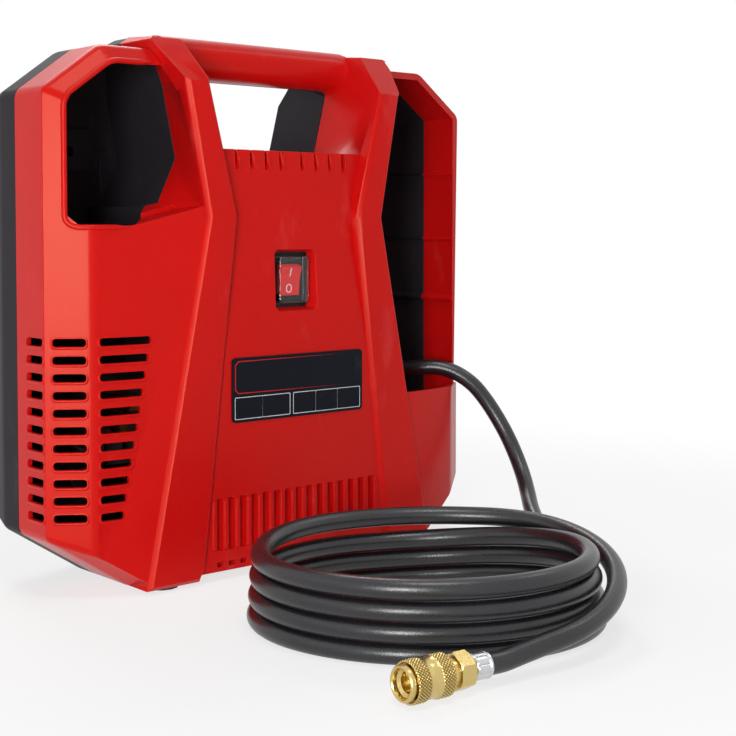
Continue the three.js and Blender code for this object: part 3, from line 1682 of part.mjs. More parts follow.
// The bush grips the hose where it leaves the housing, with a tapered sleeve
function makeHoseBush() {
  return turned('x', [
    [bushBore, bushStart],
    [bushTaperRadius, bushStart],
    [bushTaperRadius, bushFlangeX - fitGap],
    [bushFlange, bushFlangeX - fitGap],
    [bushFlange, bushFlangeX + bushFlangeLength],
    [bushTaperRadius, bushFlangeX + bushFlangeLength],
    [bushTipRadius, bushEnd],
    [bushBore, bushEnd],
    [bushBore, bushStart],
  ], fittingBack, fittingHeight, 16);
}

const reliefSeat = machineBack + plateSide / 2 + fitGap;

function makeReliefBody() {
  return turned('y', [
    [reliefPin + fitGap, reliefSeat],
    [reliefRadius, reliefSeat],
    [reliefRadius, reliefSeat + reliefLength - reliefChamfer],
    [reliefRadius - reliefChamfer, reliefSeat + reliefLength],
    [reliefPin + fitGap, reliefSeat + reliefLength],
    [reliefPin + fitGap, reliefSeat],
  ], portSpread, portHeight, 16);
}

function makeReliefPin() {
  const end = reliefSeat + reliefLength + reliefLift;
  return bar('y', reliefPin, end - reliefPinLength, end, portSpread, portHeight, 12);
}

// The bush sits flush in the rear wall; its flange bears on the wall from inside
function makeMainsBush() {
  const face = mainsSeat - fitGap;
  return turned('y', [
    [mainsBore, yRear - mainsLength],
    [mainsRadius, yRear - mainsLength],
    [mainsRadius, face - mainsFlangeLength],
    [mainsFlange, face - mainsFlangeLength],
    [mainsFlange, face],
    [mainsRadius, face],
    [mainsRadius, yRear],
    [mainsBore, yRear],
    [mainsBore, yRear - mainsLength],
  ], mainsX, mainsHeight, 16);
}

// Hose: the free stretch from the bush to the floor, then the coil

const coilRight = new THREE.Vector3(1, 0, 0).applyAxisAngle(axisZ, coilTurnDegrees * degrees);
const coilAway = new THREE.Vector3(0, 1, 0).applyAxisAngle(axisZ, coilTurnDegrees * degrees);
const hoseRest = hoseRadius + floorGap;

function smooth(low, high, value) {
  const share = Math.min(1, Math.max(0, (value - low) / (high - low)));
  return share * share * (3 - 2 * share);
}

function coilPoint(turns) {
  const angle = -2 * Math.PI * turns;
  const loop = Math.min(coilLoops - 1, Math.floor(turns));
  const climb = smooth(climbStartShare, climbEndShare, turns - loop);
  const layer = loop + (loop < coilLoops - 1 ? climb : 0);
  const spread = looseSpread * smooth(leaveShare, leaveEndShare, turns);
  const widen = looseWiden * smooth(leaveShare, widenEndShare, turns);
  const lift = looseLift * smooth(liftStartShare, liftEndShare, turns);
  const drop = smooth(dropStartShare, dropEndShare, turns);
  const high = hoseRest + layer * coilLayer + lift;
  const height = high + (tailHeight - high) * drop;
  return new THREE.Vector3(coilCentreX, coilCentreY, height)
    .addScaledVector(coilRight, coilShiftRight - coilLeanRight * layer)
    .addScaledVector(coilAway, coilShiftAway - coilLeanAway * layer)
    .addScaledVector(coilRight, (coilLong - coilTaper * layer + spread) * Math.cos(angle))
    .addScaledVector(coilAway, (coilWide + widen) * Math.sin(angle));
}

function coilRoute() {
  const points = [];
  for (let i = 0; i <= coilSteps; i++) points.push(coilPoint(i / stepsPerLoop));
  const diameter = 2 * hoseRadius;
  const start = points[0].clone().sub(points[1]).setZ(0).normalize();
  points.unshift(points[0].clone().addScaledVector(start, diameter));
  const last = points[points.length - 1];
  const end = last.clone().sub(points[points.length - 2]).setZ(0).normalize();
  for (let i = 1; i <= tailSteps; i++) {
    const point = last.clone().addScaledVector(end, i * diameter);
    point.z = i === 1 ? (last.z + tailHeight) / 2 : tailHeight;
    points.push(point);
  }
  return points;
}

const coilPoints = coilRoute();
const coilStart = coilPoints[0];
const coilStartWay = coilStart.clone().sub(coilPoints[1]).normalize();
const coilEnd = coilPoints[coilPoints.length - 1];
const coilEndWay = coilEnd.clone().sub(coilPoints[coilPoints.length - 2]).normalize();

// Places of the free stretch after the bush, on the floor's frame
const leadStart = new THREE.Vector3(bushEnd + fitGap, fittingBack, fittingHeight + footProud);
const leadRoute = [
  [129.2, 7.4, 119],
  [136.8, 2.2, 118.8],
  [143.4, -5.8, 119.5],
  [150, -15.2, 121],
  [157.5, -24.5, 121.5],
  [163.5, -32, 120],
  [169.5, -39.5, 115.5],
  [176, -46.5, 107.5],
  [182.3, -52.5, 97],
  [187.5, -59, 85],
  [190.8, -67, 71],
  [190.8, -76.5, 56.5],
  [187, -87.5, 43],
  [179.5, -99, 32.5],
  [170, -110.8, 25.3],
  [161, -123.5, 19.5],
  [151.5, -137, 14.5],
  [141, -151, 10.2],
  [129.5, -165.8, 7.3],
  [116.8, -182, 6],
  [102.5, -200.5, 5.8],
  [86.5, -221.5, 5.8],
];

function leadPoints() {
  const points = [leadStart, leadStart.clone().addScaledVector(axisX, hoseRadius)];
  leadRoute.forEach(([x, y, z]) => points.push(new THREE.Vector3(x, y, z)));
  const end = coilStart.clone().addScaledVector(coilStartWay, fitGap);
  const last = points[points.length - 1];
  const run = last.distanceTo(end);
  leadEndShares.forEach((share) => {
    points.push(end.clone().addScaledVector(coilStartWay, run * share));
  });
  points.push(end);
  return points;
}

function leastGap() {
  const curve = new THREE.CatmullRomCurve3(coilPoints);
  const samples = curve.getSpacedPoints(coilPoints.length * 8);
  const step = curve.getLength() / (samples.length - 1);
  const skip = Math.ceil((6 * hoseRadius) / step);
  let least = Infinity;
  for (let i = 0; i < samples.length; i++) {
    for (let j = i + skip; j < samples.length; j++) {
      least = Math.min(least, samples[i].distanceTo(samples[j]));
    }
  }
  return least - 2 * hoseRadius;
}

console.log('least gap of the coil to itself, mm:', leastGap().toFixed(2));

// Coupler pieces, drawn along +X from the hose's end

const hexStart = ferruleLength + 2 * fitGap;
const bodyStart = hexStart + hexLength;
const couplerEnd = bodyStart + couplerLength;
const sleeveLow = couplerEnd - couplerLipLength - fitGap - sleeveLength;

function makeFerrule() {
  const end = fitGap + ferruleLength;
  const land = ferruleLength / 3;
  return turned('x', [
    [0, fitGap],
    [ferruleRadius - crimpDepth, fitGap],
    [ferruleRadius, fitGap + crimpDepth],
    [ferruleRadius, fitGap + land],
    [ferruleRadius - crimpDepth, fitGap + land + crimpDepth],
    [ferruleRadius - crimpDepth, end - land - crimpDepth],
    [ferruleRadius, end - land],
    [ferruleRadius, end - crimpDepth],
    [ferruleRadius - crimpDepth, end],
    [0, end],
  ], 0, 0, 16);
}

function makeCouplerBody() {
  const lip = couplerBodyRadius + couplerLip;
  const nut = bar('x', hexRadius, hexStart + hexCollar, bodyStart - hexCollar, 0, 0, 6);
  return join(nut, turned('x', [
    [0, hexStart],
    [hexRadius - hexCollar, hexStart],
    [hexRadius - hexCollar, bodyStart],
    [couplerBodyRadius, bodyStart],
    [couplerBodyRadius, couplerEnd - couplerLipLength],
    [lip, couplerEnd - couplerLipLength],
    [lip, couplerEnd],
    [couplerBore, couplerEnd],
    [couplerBore, couplerEnd - couplerBoreDepth],
    [0, couplerEnd - couplerBoreDepth],
  ], 0, 0, 16));
}

function makeSleeve() {
  const inner = couplerBodyRadius + fitGap;
  const end = sleeveLow + sleeveLength;
  const land = sleeveLength / 3;
  const waist = sleeveRadius - sleeveGroove;
  return turned('x', [
    [inner, sleeveLow],
    [sleeveRadius - sleeveGroove, sleeveLow],
    [sleeveRadius, sleeveLow + sleeveGroove],
    [sleeveRadius, sleeveLow + land],
    [waist, sleeveLow + land + sleeveGroove],
    [waist, end - land - sleeveGroove],
    [sleeveRadius, end - land],
    [sleeveRadius, end - sleeveGroove],
    [sleeveRadius - sleeveGroove, end],
    [inner, end],
    [inner, sleeveLow],
  ], 0, 0, 16);
}

function makeCouplerValve() {
  const end = couplerEnd - couplerSocketDepth;
  return bar('x', couplerBore - fitGap, end - valveLength, end, 0, 0);
}

// Assembly

const materials = {
  red: { color: 0xc61818, roughness: 0.42, metalness: 0 },
  charcoal: { color: 0x34343a, roughness: 0.55, metalness: 0 },
  black: { color: 0x17181a, roughness: 0.5, metalness: 0 },
  rubber: { color: 0x202124, roughness: 0.7, metalness: 0 },
  clear: { color: 0xdfe4e8, roughness: 0.1, metalness: 0, transparent: true, opacity: 0.35 },
  steel: { color: 0xb9bcc0, roughness: 0.35, metalness: 1 },
  iron: { color: 0x6b6e73, roughness: 0.5, metalness: 1 },
  aluminium: { color: 0xc7c9cc, roughness: 0.45, metalness: 1 },
  copper: { color: 0xb56a3a, roughness: 0.4, metalness: 1 },
  brass: { color: 0xbea050, roughness: 0.3, metalness: 1 },
  carbon: { color: 0x2b2b2d, roughness: 0.8, metalness: 0 },
  seal: { color: 0xe8e2d2, roughness: 0.5, metalness: 0 },
};

const compressor = new THREE.Group();
const machine = new THREE.Group();
machine.position.z = footProud;
compressor.add(machine);

function place(parent, name, shape, finish) {
  const geometry = shape.isBufferGeometry ? shape : geometryOf(shape);
  const mesh = new THREE.Mesh(geometry, new THREE.MeshStandardMaterial(materials[finish]));
  mesh.name = name;
  parent.add(mesh);
  return mesh;
}

place(machine, 'front_shell', makeFrontShell(), 'red');
place(machine, 'rear_shell', makeRearShell(), 'charcoal');
place(machine, 'nameplate', makeNameplate(), 'black');
place(machine, 'switch_housing', makeSwitchHousing(), 'black');
place(machine, 'switch_rocker', makeRocker(), 'red');
place(machine, 'switch_cover', makeSwitchCover(), 'clear');
footPlaces.forEach(([where, x, y]) => place(machine, 'foot_' + where, makeFoot(x, y), 'rubber'));
screwPlaces.forEach(([where, x, z]) => place(machine, 'housing_screw_' + where, makeScrew(x, z), 'steel'));
place(machine, 'mains_cable_bush', makeMainsBush(), 'rubber');

place(machine, 'pump_frame', makeFrame(), 'aluminium');
place(machine, 'crank_gear', makeCrankGear(), 'seal');
place(machine, 'crankshaft', makeCrankshaft(), 'steel');
place(machine, 'crank_pin', makeCrankPin(), 'steel');
const crankBearingWidth = frameWall - fitGap;
const crankBearings = [
  ['crank_bearing_outer', outerWallBack, outerWallBack + crankBearingWidth],
  ['crank_bearing_inner', innerWallBack, innerWallBack + crankBearingWidth],
];
crankBearings.forEach(([name, low, high]) => {
  const shape = makeBearing(crankShaftRadius + fitGap, crankBearingOuter, low, high, crankHeight);
  place(machine, name, shape, 'steel');
});
place(machine, 'connecting_rod', makeRod(), 'aluminium');
const bigEndHeight = crankHeight + crankThrow;
place(machine, 'big_end_bearing',
  makeBearing(bearingInner, bearingOuter, rodFace, -rodFace, bigEndHeight), 'steel');
place(machine, 'gudgeon_pin',
  bar('x', gudgeonRadius, -gudgeonLength / 2, gudgeonLength / 2, machineBack, gudgeonHeight), 'steel');
place(machine, 'piston', makePiston(), 'aluminium');
place(machine, 'piston_ring', makePistonRing(), 'seal');
place(machine, 'cylinder', makeCylinder(), 'aluminium');
place(machine, 'valve_plate', makeValvePlate(), 'steel');
place(machine, 'inlet_reed', makeReed(-portSpread, valvePlateFoot - fitGap - reedThickness), 'steel');
place(machine, 'outlet_reed', makeReed(portSpread, valvePlateTop + fitGap), 'steel');
place(machine, 'cylinder_head', makeHead(), 'aluminium');
boltPlaces.forEach(([where, x, y]) => place(machine, 'head_bolt_' + where, makeBolt(x, y), 'steel'));

place(machine, 'motor_stator', makeStator(), 'iron');
place(machine, 'field_coil_upper', makeFieldCoil(1), 'copper');
place(machine, 'field_coil_lower', makeFieldCoil(-1), 'copper');
place(machine, 'armature_core', makeArmatureCore(), 'iron');
place(machine, 'armature_winding', makeArmatureWinding(), 'copper');
place(machine, 'motor_shaft', makeMotorShaft(), 'steel');
place(machine, 'commutator', makeCommutator(), 'copper');
place(machine, 'pinion', makePinion(), 'steel');
place(machine, 'cooling_fan', makeFan(), 'black');
place(machine, 'brush_bracket', makeBracket(), 'charcoal');
place(machine, 'brush_front', makeBrush(-1), 'carbon');
place(machine, 'brush_rear', makeBrush(1), 'carbon');
const motorBearings = [
  ['motor_bearing_left', bracketLeft, bracketLeft + motorBearingWidth],
  ['motor_bearing_right', outerWallBack - fitGap, outerWallBack - fitGap + motorBearingWidth],
];
motorBearings.forEach(([name, low, high]) => {
  const shape = makeBearing(shaftRadius + fitGap, motorBearingOuter, low, high - 2 * fitGap, motorHeight);
  place(machine, name, shape, 'steel');
});

place(machine, 'outlet_pipe', makeOutletPipe(), 'copper');
place(machine, 'outlet_fitting', makeOutletFitting(), 'brass');
place(machine, 'hose_bush', makeHoseBush(), 'rubber');
place(machine, 'relief_valve_body', makeReliefBody(), 'brass');
place(machine, 'relief_valve_pin', makeReliefPin(), 'steel');

place(compressor, 'hose_lead', tube(leadPoints(), hoseRadius, hoseLeadSides, hoseLeadSteps), 'rubber');
place(compressor, 'hose_coil', tube(coilPoints, hoseRadius, coilSides, coilPoints.length - 1), 'rubber');

const coupler = new THREE.Group();
coupler.position.copy(coilEnd);
coupler.quaternion.setFromUnitVectors(axisX, coilEndWay);
compressor.add(coupler);
place(coupler, 'hose_ferrule', makeFerrule(), 'steel');
place(coupler, 'coupler_body', makeCouplerBody(), 'brass');
place(coupler, 'coupler_sleeve', makeSleeve(), 'brass');
place(coupler, 'coupler_valve', makeCouplerValve(), 'brass');

export default compressor;
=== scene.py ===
import json
import math

import bmesh
import bpy
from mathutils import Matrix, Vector
from mathutils.bvhtree import BVHTree


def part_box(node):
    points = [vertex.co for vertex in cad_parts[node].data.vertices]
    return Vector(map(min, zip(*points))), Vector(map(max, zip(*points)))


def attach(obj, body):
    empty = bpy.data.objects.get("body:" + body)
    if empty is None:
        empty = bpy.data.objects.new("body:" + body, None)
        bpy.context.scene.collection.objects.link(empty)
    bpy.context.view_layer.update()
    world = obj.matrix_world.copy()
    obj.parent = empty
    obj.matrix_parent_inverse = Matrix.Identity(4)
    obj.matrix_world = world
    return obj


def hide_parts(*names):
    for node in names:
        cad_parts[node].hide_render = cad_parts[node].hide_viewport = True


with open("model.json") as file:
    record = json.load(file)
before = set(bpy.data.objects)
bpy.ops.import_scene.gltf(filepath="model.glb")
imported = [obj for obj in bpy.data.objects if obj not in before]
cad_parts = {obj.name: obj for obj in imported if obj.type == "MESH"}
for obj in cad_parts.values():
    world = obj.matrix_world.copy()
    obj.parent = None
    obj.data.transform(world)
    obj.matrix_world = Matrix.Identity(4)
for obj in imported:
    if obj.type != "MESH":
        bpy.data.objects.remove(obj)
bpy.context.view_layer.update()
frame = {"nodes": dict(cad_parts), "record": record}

NODES = frame["nodes"]
MM = 0.001


# Camera

CAMERA_PLACE = (-0.5930, -0.8003, 0.2287)
CAMERA_YAW, CAMERA_PITCH = math.radians(41.32), math.radians(2.5)
CAMERA_LENS, CAMERA_SHIFT = 69.69, -0.1095


def link(obj):
    bpy.context.scene.collection.objects.link(obj)
    return obj


def look_along(obj, way):
    """Turns a camera or a lamp."""
    obj.rotation_mode = "QUATERNION"
    obj.rotation_quaternion = Vector(way).to_track_quat("-Z", "Y")


def make_camera():
    """The photograph's camera, as fitted to it."""
    data = bpy.data.cameras.new("camera")
    data.lens = CAMERA_LENS
    data.sensor_width = 36.0
    data.shift_y = CAMERA_SHIFT
    data.clip_start = 0.05
    data.clip_end = 50.0
    camera = link(bpy.data.objects.new("camera", data))
    camera.location = CAMERA_PLACE
    level = math.cos(CAMERA_PITCH)
    look_along(camera, (math.sin(CAMERA_YAW) * level, math.cos(CAMERA_YAW) * level, -math.sin(CAMERA_PITCH)))
    bpy.context.scene.camera = camera


make_camera()


# Mesh helpers

def mesh_piece(name, verts, faces, smooth=True, sharp=30.0):
    mesh = bpy.data.meshes.new(name)
    mesh.from_pydata([tuple(v) for v in verts], [], faces)
    mesh.validate()
    mesh.update()
    finish_shading(mesh, smooth, sharp)
    return link(bpy.data.objects.new(name, mesh))


def finish_shading(mesh, smooth=True, sharp=30.0):
    for polygon in mesh.polygons:
        polygon.use_smooth = smooth
    if smooth:
        mesh.set_sharp_from_angle(angle=math.radians(sharp))


def frame_along(way):
    """Two directions across a way, for rings of points."""
    way = way.normalized()
    side = Vector((0, 0, 1)).cross(way)
    if side.length < 1e-4:
        side = Vector((1, 0, 0))
    side.normalize()
    return side, way.cross(side).normalized()


def ring_faces(rings, count, closed, around=True):
    """Faces between rings of count points; closed joins the last ring to the first, around a ring's ends."""
    faces = []
    for j in range(rings if closed else rings - 1):
        n = (j + 1) % rings
        for i in range(count if around else count - 1):
            k = (i + 1) % count
            faces.append((j * count + i, j * count + k, n * count + k, n * count + i))
    return faces


def tube_mesh(name, path, radius, sides, loop=False):
    """A round tube along points, closed at both ends or to a loop; radius is one value or a list."""
    count = len(path)
    ways = []
    for i in range(count):
        if loop:
            ahead = path[(i + 1) % count] - path[i - 1]
        else:
            ahead = path[min(count - 1, i + 1)] - path[max(0, i - 1)]
        ways.append(ahead.normalized())
    side, _ = frame_along(ways[0])
    verts = []
    for i, point in enumerate(path):
        side = (side - ways[i] * side.dot(ways[i])).normalized()
        up = ways[i].cross(side)
        r = radius[i] if isinstance(radius, list) else radius
        for k in range(sides):
            a = 2 * math.pi * k / sides
            verts.append(point + side * (r * math.cos(a)) + up * (r * math.sin(a)))
    faces = ring_faces(count, sides, loop)
    if not loop:
        faces.append(tuple(reversed(range(sides))))
        faces.append(tuple(range((count - 1) * sides, count * sides)))
    return mesh_piece(name, verts, faces)


def lathe(name, profile, origin, way, sides, sharp, ring=None):
    """A turned piece: (radius, along) points in millimetres round an axis; ring can change a radius."""
    across, up = frame_along(way)
    way = way.normalized()
    closed = profile[0] == profile[-1]
    points = profile[:-1] if closed else profile
    verts = []
    for radius, along in points:
        for k in range(sides):
            a = 2 * math.pi * k / sides
            r = ring(radius, along, a) if ring else radius
            verts.append(origin + (way * along + across * (r * math.cos(a)) + up * (r * math.sin(a))) * MM)
    faces = [(a, d, c, b) for a, b, c, d in ring_faces(len(points), sides, closed)]
    if not closed:
        faces.append(tuple(range(sides)))
        faces.append(tuple(reversed(range(len(verts) - sides, len(verts)))))
    piece = mesh_piece(name, verts, faces, True, sharp)
    outwards(piece.data)
    piece.data.set_sharp_from_angle(angle=math.radians(sharp))
    return piece


def outwards(mesh):
    """Welds a mesh and turns its faces outwards."""
    bm = bmesh.new()
    bm.from_mesh(mesh)
    bmesh.ops.remove_doubles(bm, verts=bm.verts, dist=1e-7)
    bmesh.ops.recalc_face_normals(bm, faces=bm.faces)
    bm.to_mesh(mesh)
    bm.free()


def prism_piece(name, outline, low, high, bevel, segments):
    """An outline in (x, z), from one depth to another, with rounded edges; all in millimetres."""
    count = len(outline)
    verts = [Vector((u, depth, v)) * MM for depth in (low, high) for u, v in outline]
    faces = [tuple(range(count)), tuple(reversed(range(count, 2 * count)))] + ring_faces(2, count, False)
    piece = mesh_piece(name, verts, faces, True, 38)
    outwards(piece.data)
    add_bevel(piece, bevel, segments)
    return piece


def ring_piece(name, outer, inner, low, high, smooth=False, around=True):
    """A flat frame between two outlines of as many points, in (x, z), from one depth to another."""
    verts = []
    for ring, depth in ((outer, high), (outer, low), (inner, low), (inner, high)):
        verts += [Vector((u, depth, v)) * MM for u, v in ring]
    piece = mesh_piece(name, verts, ring_faces(4, len(outer), True, around), smooth, 38)
    outwards(piece.data)
    return piece


def add_bevel(piece, width, segments):
    mod = piece.modifiers.new("edge", "BEVEL")
    mod.width = width * MM
    mod.segments = segments
    mod.limit_method = "ANGLE"
    mod.angle_limit = math.radians(25)
    mod.harden_normals = True
    mod.use_clamp_overlap = True


def rectangle(x0, x1, z0, z1, inset=0.0):
    left, right, foot, top = x0 + inset, x1 - inset, z0 + inset, z1 - inset
    return [(left, foot), (right, foot), (right, top), (left, top)]


def circle(x, z, half_width, half_height, count):
    """Points of an ellipse."""
    turns = [2 * math.pi * k / count for k in range(count)]
    return [(x + half_width * math.cos(a), z + half_height * math.sin(a)) for a in turns]


def rounded(outline, radius, steps):
    """Rounds the corners of an outline; radius is one value or a list."""
    count = len(outline)
    points = []
    for i in range(count):
        r = radius[i] if isinstance(radius, list) else radius
        before, here, after = (Vector(outline[(i + k) % count]) for k in (-1, 0, 1))
        if r <= 0:
            points.append(tuple(here))
            continue
        a, b = before - here, after - here
        reach = min(r, a.length * 0.49, b.length * 0.49)
        start, end = here + a.normalized() * reach, here + b.normalized() * reach
        for k in range(steps + 1):
            t = k / steps
            points.append(tuple(start * (1 - t) ** 2 + here * (2 * t * (1 - t)) + end * t ** 2))
    return points


# Hose and coupler

HOSE_R = 5.7
HOSE_WIDE = 2 * HOSE_R
HOSE_LOW = 5.8  # height of the hose's middle where it lies on the floor
COUPLER_HIGH = 11  # height of the coupler's middle
LAYER = 12.1  # from one loop of the coil to the next one above
TOP_LOOP = 3
LOOP_POINTS, COIL_POINTS = 24, 101  # of one loop, and of the whole coil
COIL_X, COIL_Y = -55, -233.5
COIL_HALF_WIDTH, COIL_HALF_DEPTH = 98, 83
TAIL_SPREAD, TAIL_WIDEN, TAIL_LIFT = 15, 18, 3.5
COIL_RIGHT = Vector((math.cos(CAMERA_YAW), -math.sin(CAMERA_YAW), 0))
COIL_AWAY = Vector((math.sin(CAMERA_YAW), math.cos(CAMERA_YAW), 0))


def ease(low, high, value):
    """From 0 to 1, slow at both ends, while a value goes from low to high."""
    share = min(1.0, max(0.0, (value - low) / (high - low)))
    return share * share * (3 - 2 * share)


def coil_point(turns):
    """The coil after some turns: loops in layers, then a tail that widens, lifts and drops to the coupler."""
    angle = -2 * math.pi * turns
    loop = min(TOP_LOOP, math.floor(turns))
    layer = loop + (ease(0.7, 0.98, turns - loop) if loop < TOP_LOOP else 0)
    spread = TAIL_SPREAD * ease(3.64, 3.87, turns)
    widen = TAIL_WIDEN * ease(3.64, 4.0, turns)
    high = HOSE_LOW + layer * LAYER + TAIL_LIFT * ease(3.45, 3.65, turns)
    height = high + (COUPLER_HIGH - high) * ease(3.83, 4.24, turns)
    to_right, away = 4 - 0.5 * layer, 33 - 2.8 * layer
    half_width = COIL_HALF_WIDTH - 1.5 * layer + spread
    half_depth = COIL_HALF_DEPTH + widen
    point = Vector((COIL_X, COIL_Y, height))
    point += COIL_RIGHT * to_right + COIL_AWAY * away
    point += COIL_RIGHT * (half_width * math.cos(angle))
    point += COIL_AWAY * (half_depth * math.sin(angle))
    return point


def coil_route():
    """The coil's points, with a straight start on the floor and a straight end for the coupler."""
    points = [coil_point(i / LOOP_POINTS) for i in range(COIL_POINTS)]
    start = points[0] - points[1]
    start.z = 0
    points.insert(0, points[0] + start.normalized() * HOSE_WIDE)
    last = points[-1].copy()
    end = last - points[-2]
    end.z = 0
    end.normalize()
    for i in (1, 2, 3):
        point = last + end * (HOSE_WIDE * i)
        point.z = (last.z + COUPLER_HIGH) / 2 if i == 1 else COUPLER_HIGH
        points.append(point)
    return points


COIL = coil_route()
COIL_START_WAY = (COIL[0] - COIL[1]).normalized()
COIL_END = COIL[-1]
COIL_END_WAY = (COIL[-1] - COIL[-2]).normalized()
LEAD_START = Vector((117.9, 8.0, 119.0))
# the hose's middle from the bush, out of the bay and down to the floor
LEAD = [
    (125.1, 7.3, 119), (131.8, 5.1, 119), (137.9, 1.3, 119.1), (142.6, -3.2, 119.5),
    (146.3, -8.7, 120.1), (151.2, -16.6, 120.9), (157.5, -24.5, 121.2), (163.5, -32, 119.3),
    (169.5, -39.5, 115), (176, -46.5, 107.8), (182.3, -52.5, 97.4), (187.5, -59, 85),
    (190.8, -67, 71), (190.8, -76.5, 56.5), (187, -87.5, 43), (179.5, -99, 32.5),
    (170, -110.8, 25.3), (161, -123.5, 19.5), (151.5, -137, 14.5), (141, -151, 10.2),
    (129.5, -165.8, 7.3), (116.8, -182, 6), (102.5, -200.5, 5.8),
]


def hose_route():
    """From the bush down to the floor, and on with an even bend into the coil."""
    points = [LEAD_START] + [Vector(p) for p in LEAD]
    start, end = points[-1], COIL[0]
    reach = (end - start).length
    leave, arrive = (start - points[-2]).normalized() * reach, COIL_START_WAY * -reach
    for k in range(1, 6):
        t = k / 6
        points.append(start * (2 * t ** 3 - 3 * t ** 2 + 1) + leave * (t ** 3 - 2 * t ** 2 + t)
                      + end * (3 * t ** 2 - 2 * t ** 3) + arrive * (t ** 3 - t ** 2))
    return points + COIL


def centripetal(points, step):
    """A smooth curve through points, sampled about every step."""
    ends = [points[0] * 2 - points[1]] + points + [points[-1] * 2 - points[-2]]
    out = []
    for i in range(1, len(ends) - 2):
        p0, p1, p2, p3 = ends[i - 1], ends[i], ends[i + 1], ends[i + 2]
        t0, t1 = 0.0, max(1e-4, (p1 - p0).length ** 0.5)
        t2 = t1 + max(1e-4, (p2 - p1).length ** 0.5)
        t3 = t2 + max(1e-4, (p3 - p2).length ** 0.5)
        pieces = max(1, round((p2 - p1).length / step))
        for k in range(pieces):
            t = t1 + (t2 - t1) * k / pieces
            a1 = p0 * ((t1 - t) / (t1 - t0)) + p1 * ((t - t0) / (t1 - t0))
            a2 = p1 * ((t2 - t) / (t2 - t1)) + p2 * ((t - t1) / (t2 - t1))
            a3 = p2 * ((t3 - t) / (t3 - t2)) + p3 * ((t - t2) / (t3 - t2))
            b1 = a1 * ((t2 - t) / (t2 - t0)) + a2 * ((t - t0) / (t2 - t0))
            b2 = a2 * ((t3 - t) / (t3 - t1)) + a3 * ((t - t1) / (t3 - t1))
            out.append(b1 * ((t2 - t) / (t2 - t1)) + b2 * ((t - t1) / (t2 - t1)))
    out.append(points[-1].copy())
    return out


def make_hose():
    path = [p * MM for p in centripetal(hose_route(), step=3.5)]
    length = sum((b - a).length for a, b in zip(path, path[1:]))
    hose = tube_mesh("air_hose", path, HOSE_R * MM, sides=24)
    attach(hose, "housing")
    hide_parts("hose_lead", "hose_coil")
    return hose, path, length


hose, hose_path, hose_length = make_hose()


# Materials

def srgb(r, g, b):
    def line(v):
        v /= 255
        return v / 12.92 if v <= 0.04045 else ((v + 0.055) / 1.055) ** 2.4
    return (line(r), line(g), line(b), 1.0)


def add_node(tree, kind, inputs, **settings):
    """A new shader node; each input gets a constant or is wired to another node's output."""
    made = tree.nodes.new(kind)
    for key, value in settings.items():
        setattr(made, key, value)
    for key, value in inputs.items():
        if isinstance(value, bpy.types.NodeSocket):
            tree.links.new(value, made.inputs[key])
        else:
            made.inputs[key].default_value = value
    return made


class Shader:
    """One procedural material, with its Principled shader and a few node helpers."""

    def __init__(self, name, color, rough, metallic=0.0, **sockets):
        self.mat = bpy.data.materials.new(name)
        self.mat.use_nodes = True
        self.tree = self.mat.node_tree
        self.bsdf = self.tree.nodes["Principled BSDF"]
        self.bsdf.inputs["Base Color"].default_value = color
        self.bsdf.inputs["Roughness"].default_value = rough
        self.bsdf.inputs["Metallic"].default_value = metallic
        for key, value in sockets.items():
            self.bsdf.inputs[key.replace("_", " ")].default_value = value
        self.coords = add_node(self.tree, "ShaderNodeTexCoord", {}).outputs["Object"]

    def noise(self, scale, detail, rough=0.5, stretch=None):
        place = self.coords
        if stretch:
            mapping = add_node(self.tree, "ShaderNodeMapping", {"Scale": stretch, "Vector": place})
            place = mapping.outputs["Vector"]
        inputs = {"Scale": scale, "Detail": detail, "Roughness": rough, "Vector": place}
        return add_node(self.tree, "ShaderNodeTexNoise", inputs).outputs["Fac"]

    def span(self, value, low, high, start=0.3, end=0.7):
        inputs = {"From Min": start, "From Max": end, "To Min": low, "To Max": high, "Value": value}
        return add_node(self.tree, "ShaderNodeMapRange", inputs).outputs["Result"]

    def blend(self, factor, a, b):
        inputs = {"A": a, "B": b, "Factor": factor}
        return add_node(self.tree, "ShaderNodeMix", inputs, data_type="RGBA").outputs["Result"]

    def done(self, color, rough, height, strength, distance):
        """Wires colour, roughness and bumps to the shader, and gives the material."""
        inputs = {"Strength": strength, "Distance": distance, "Height": height}
        bump = add_node(self.tree, "ShaderNodeBump", inputs)
        for key, out in (("Base Color", color), ("Roughness", rough), ("Normal", bump.outputs["Normal"])):
            self.tree.links.new(out, self.bsdf.inputs[key])
        return self.mat


def shade(color, share):
    return tuple(min(1.0, c * share) for c in color[:3]) + (1.0,)


def plastic(name, color, rough, shift, grain, strength, **sockets):
    """Moulded plastic: a fine spark texture, faint flow in colour and gloss, a few rubbed patches."""
    s = Shader(name, color, rough, **sockets)
    lighter = shade(color, 1 + shift)
    rubbed = tuple(c + (0.5 - c) * 0.035 for c in lighter[:3]) + (1.0,)
    flow = s.blend(s.span(s.noise(18.0, 3.0), 0.0, 1.0), shade(color, 1 - shift), lighter)
    scuff = s.span(s.noise(46.0, 6.0, 0.65, (1.0, 1.0, 0.4)), 0.0, 1.0, 0.6, 0.72)
    fine = s.noise(grain, 2.0, 0.6)
    gloss = s.span(fine, rough - 0.05, rough + 0.07)
    duller = add_node(s.tree, "ShaderNodeMath", {0: scuff, 1: 0.1, 2: gloss}, operation="MULTIPLY_ADD")
    return s.done(s.blend(scuff, flow, rubbed), duller.outputs["Value"], fine, strength, 0.00012)


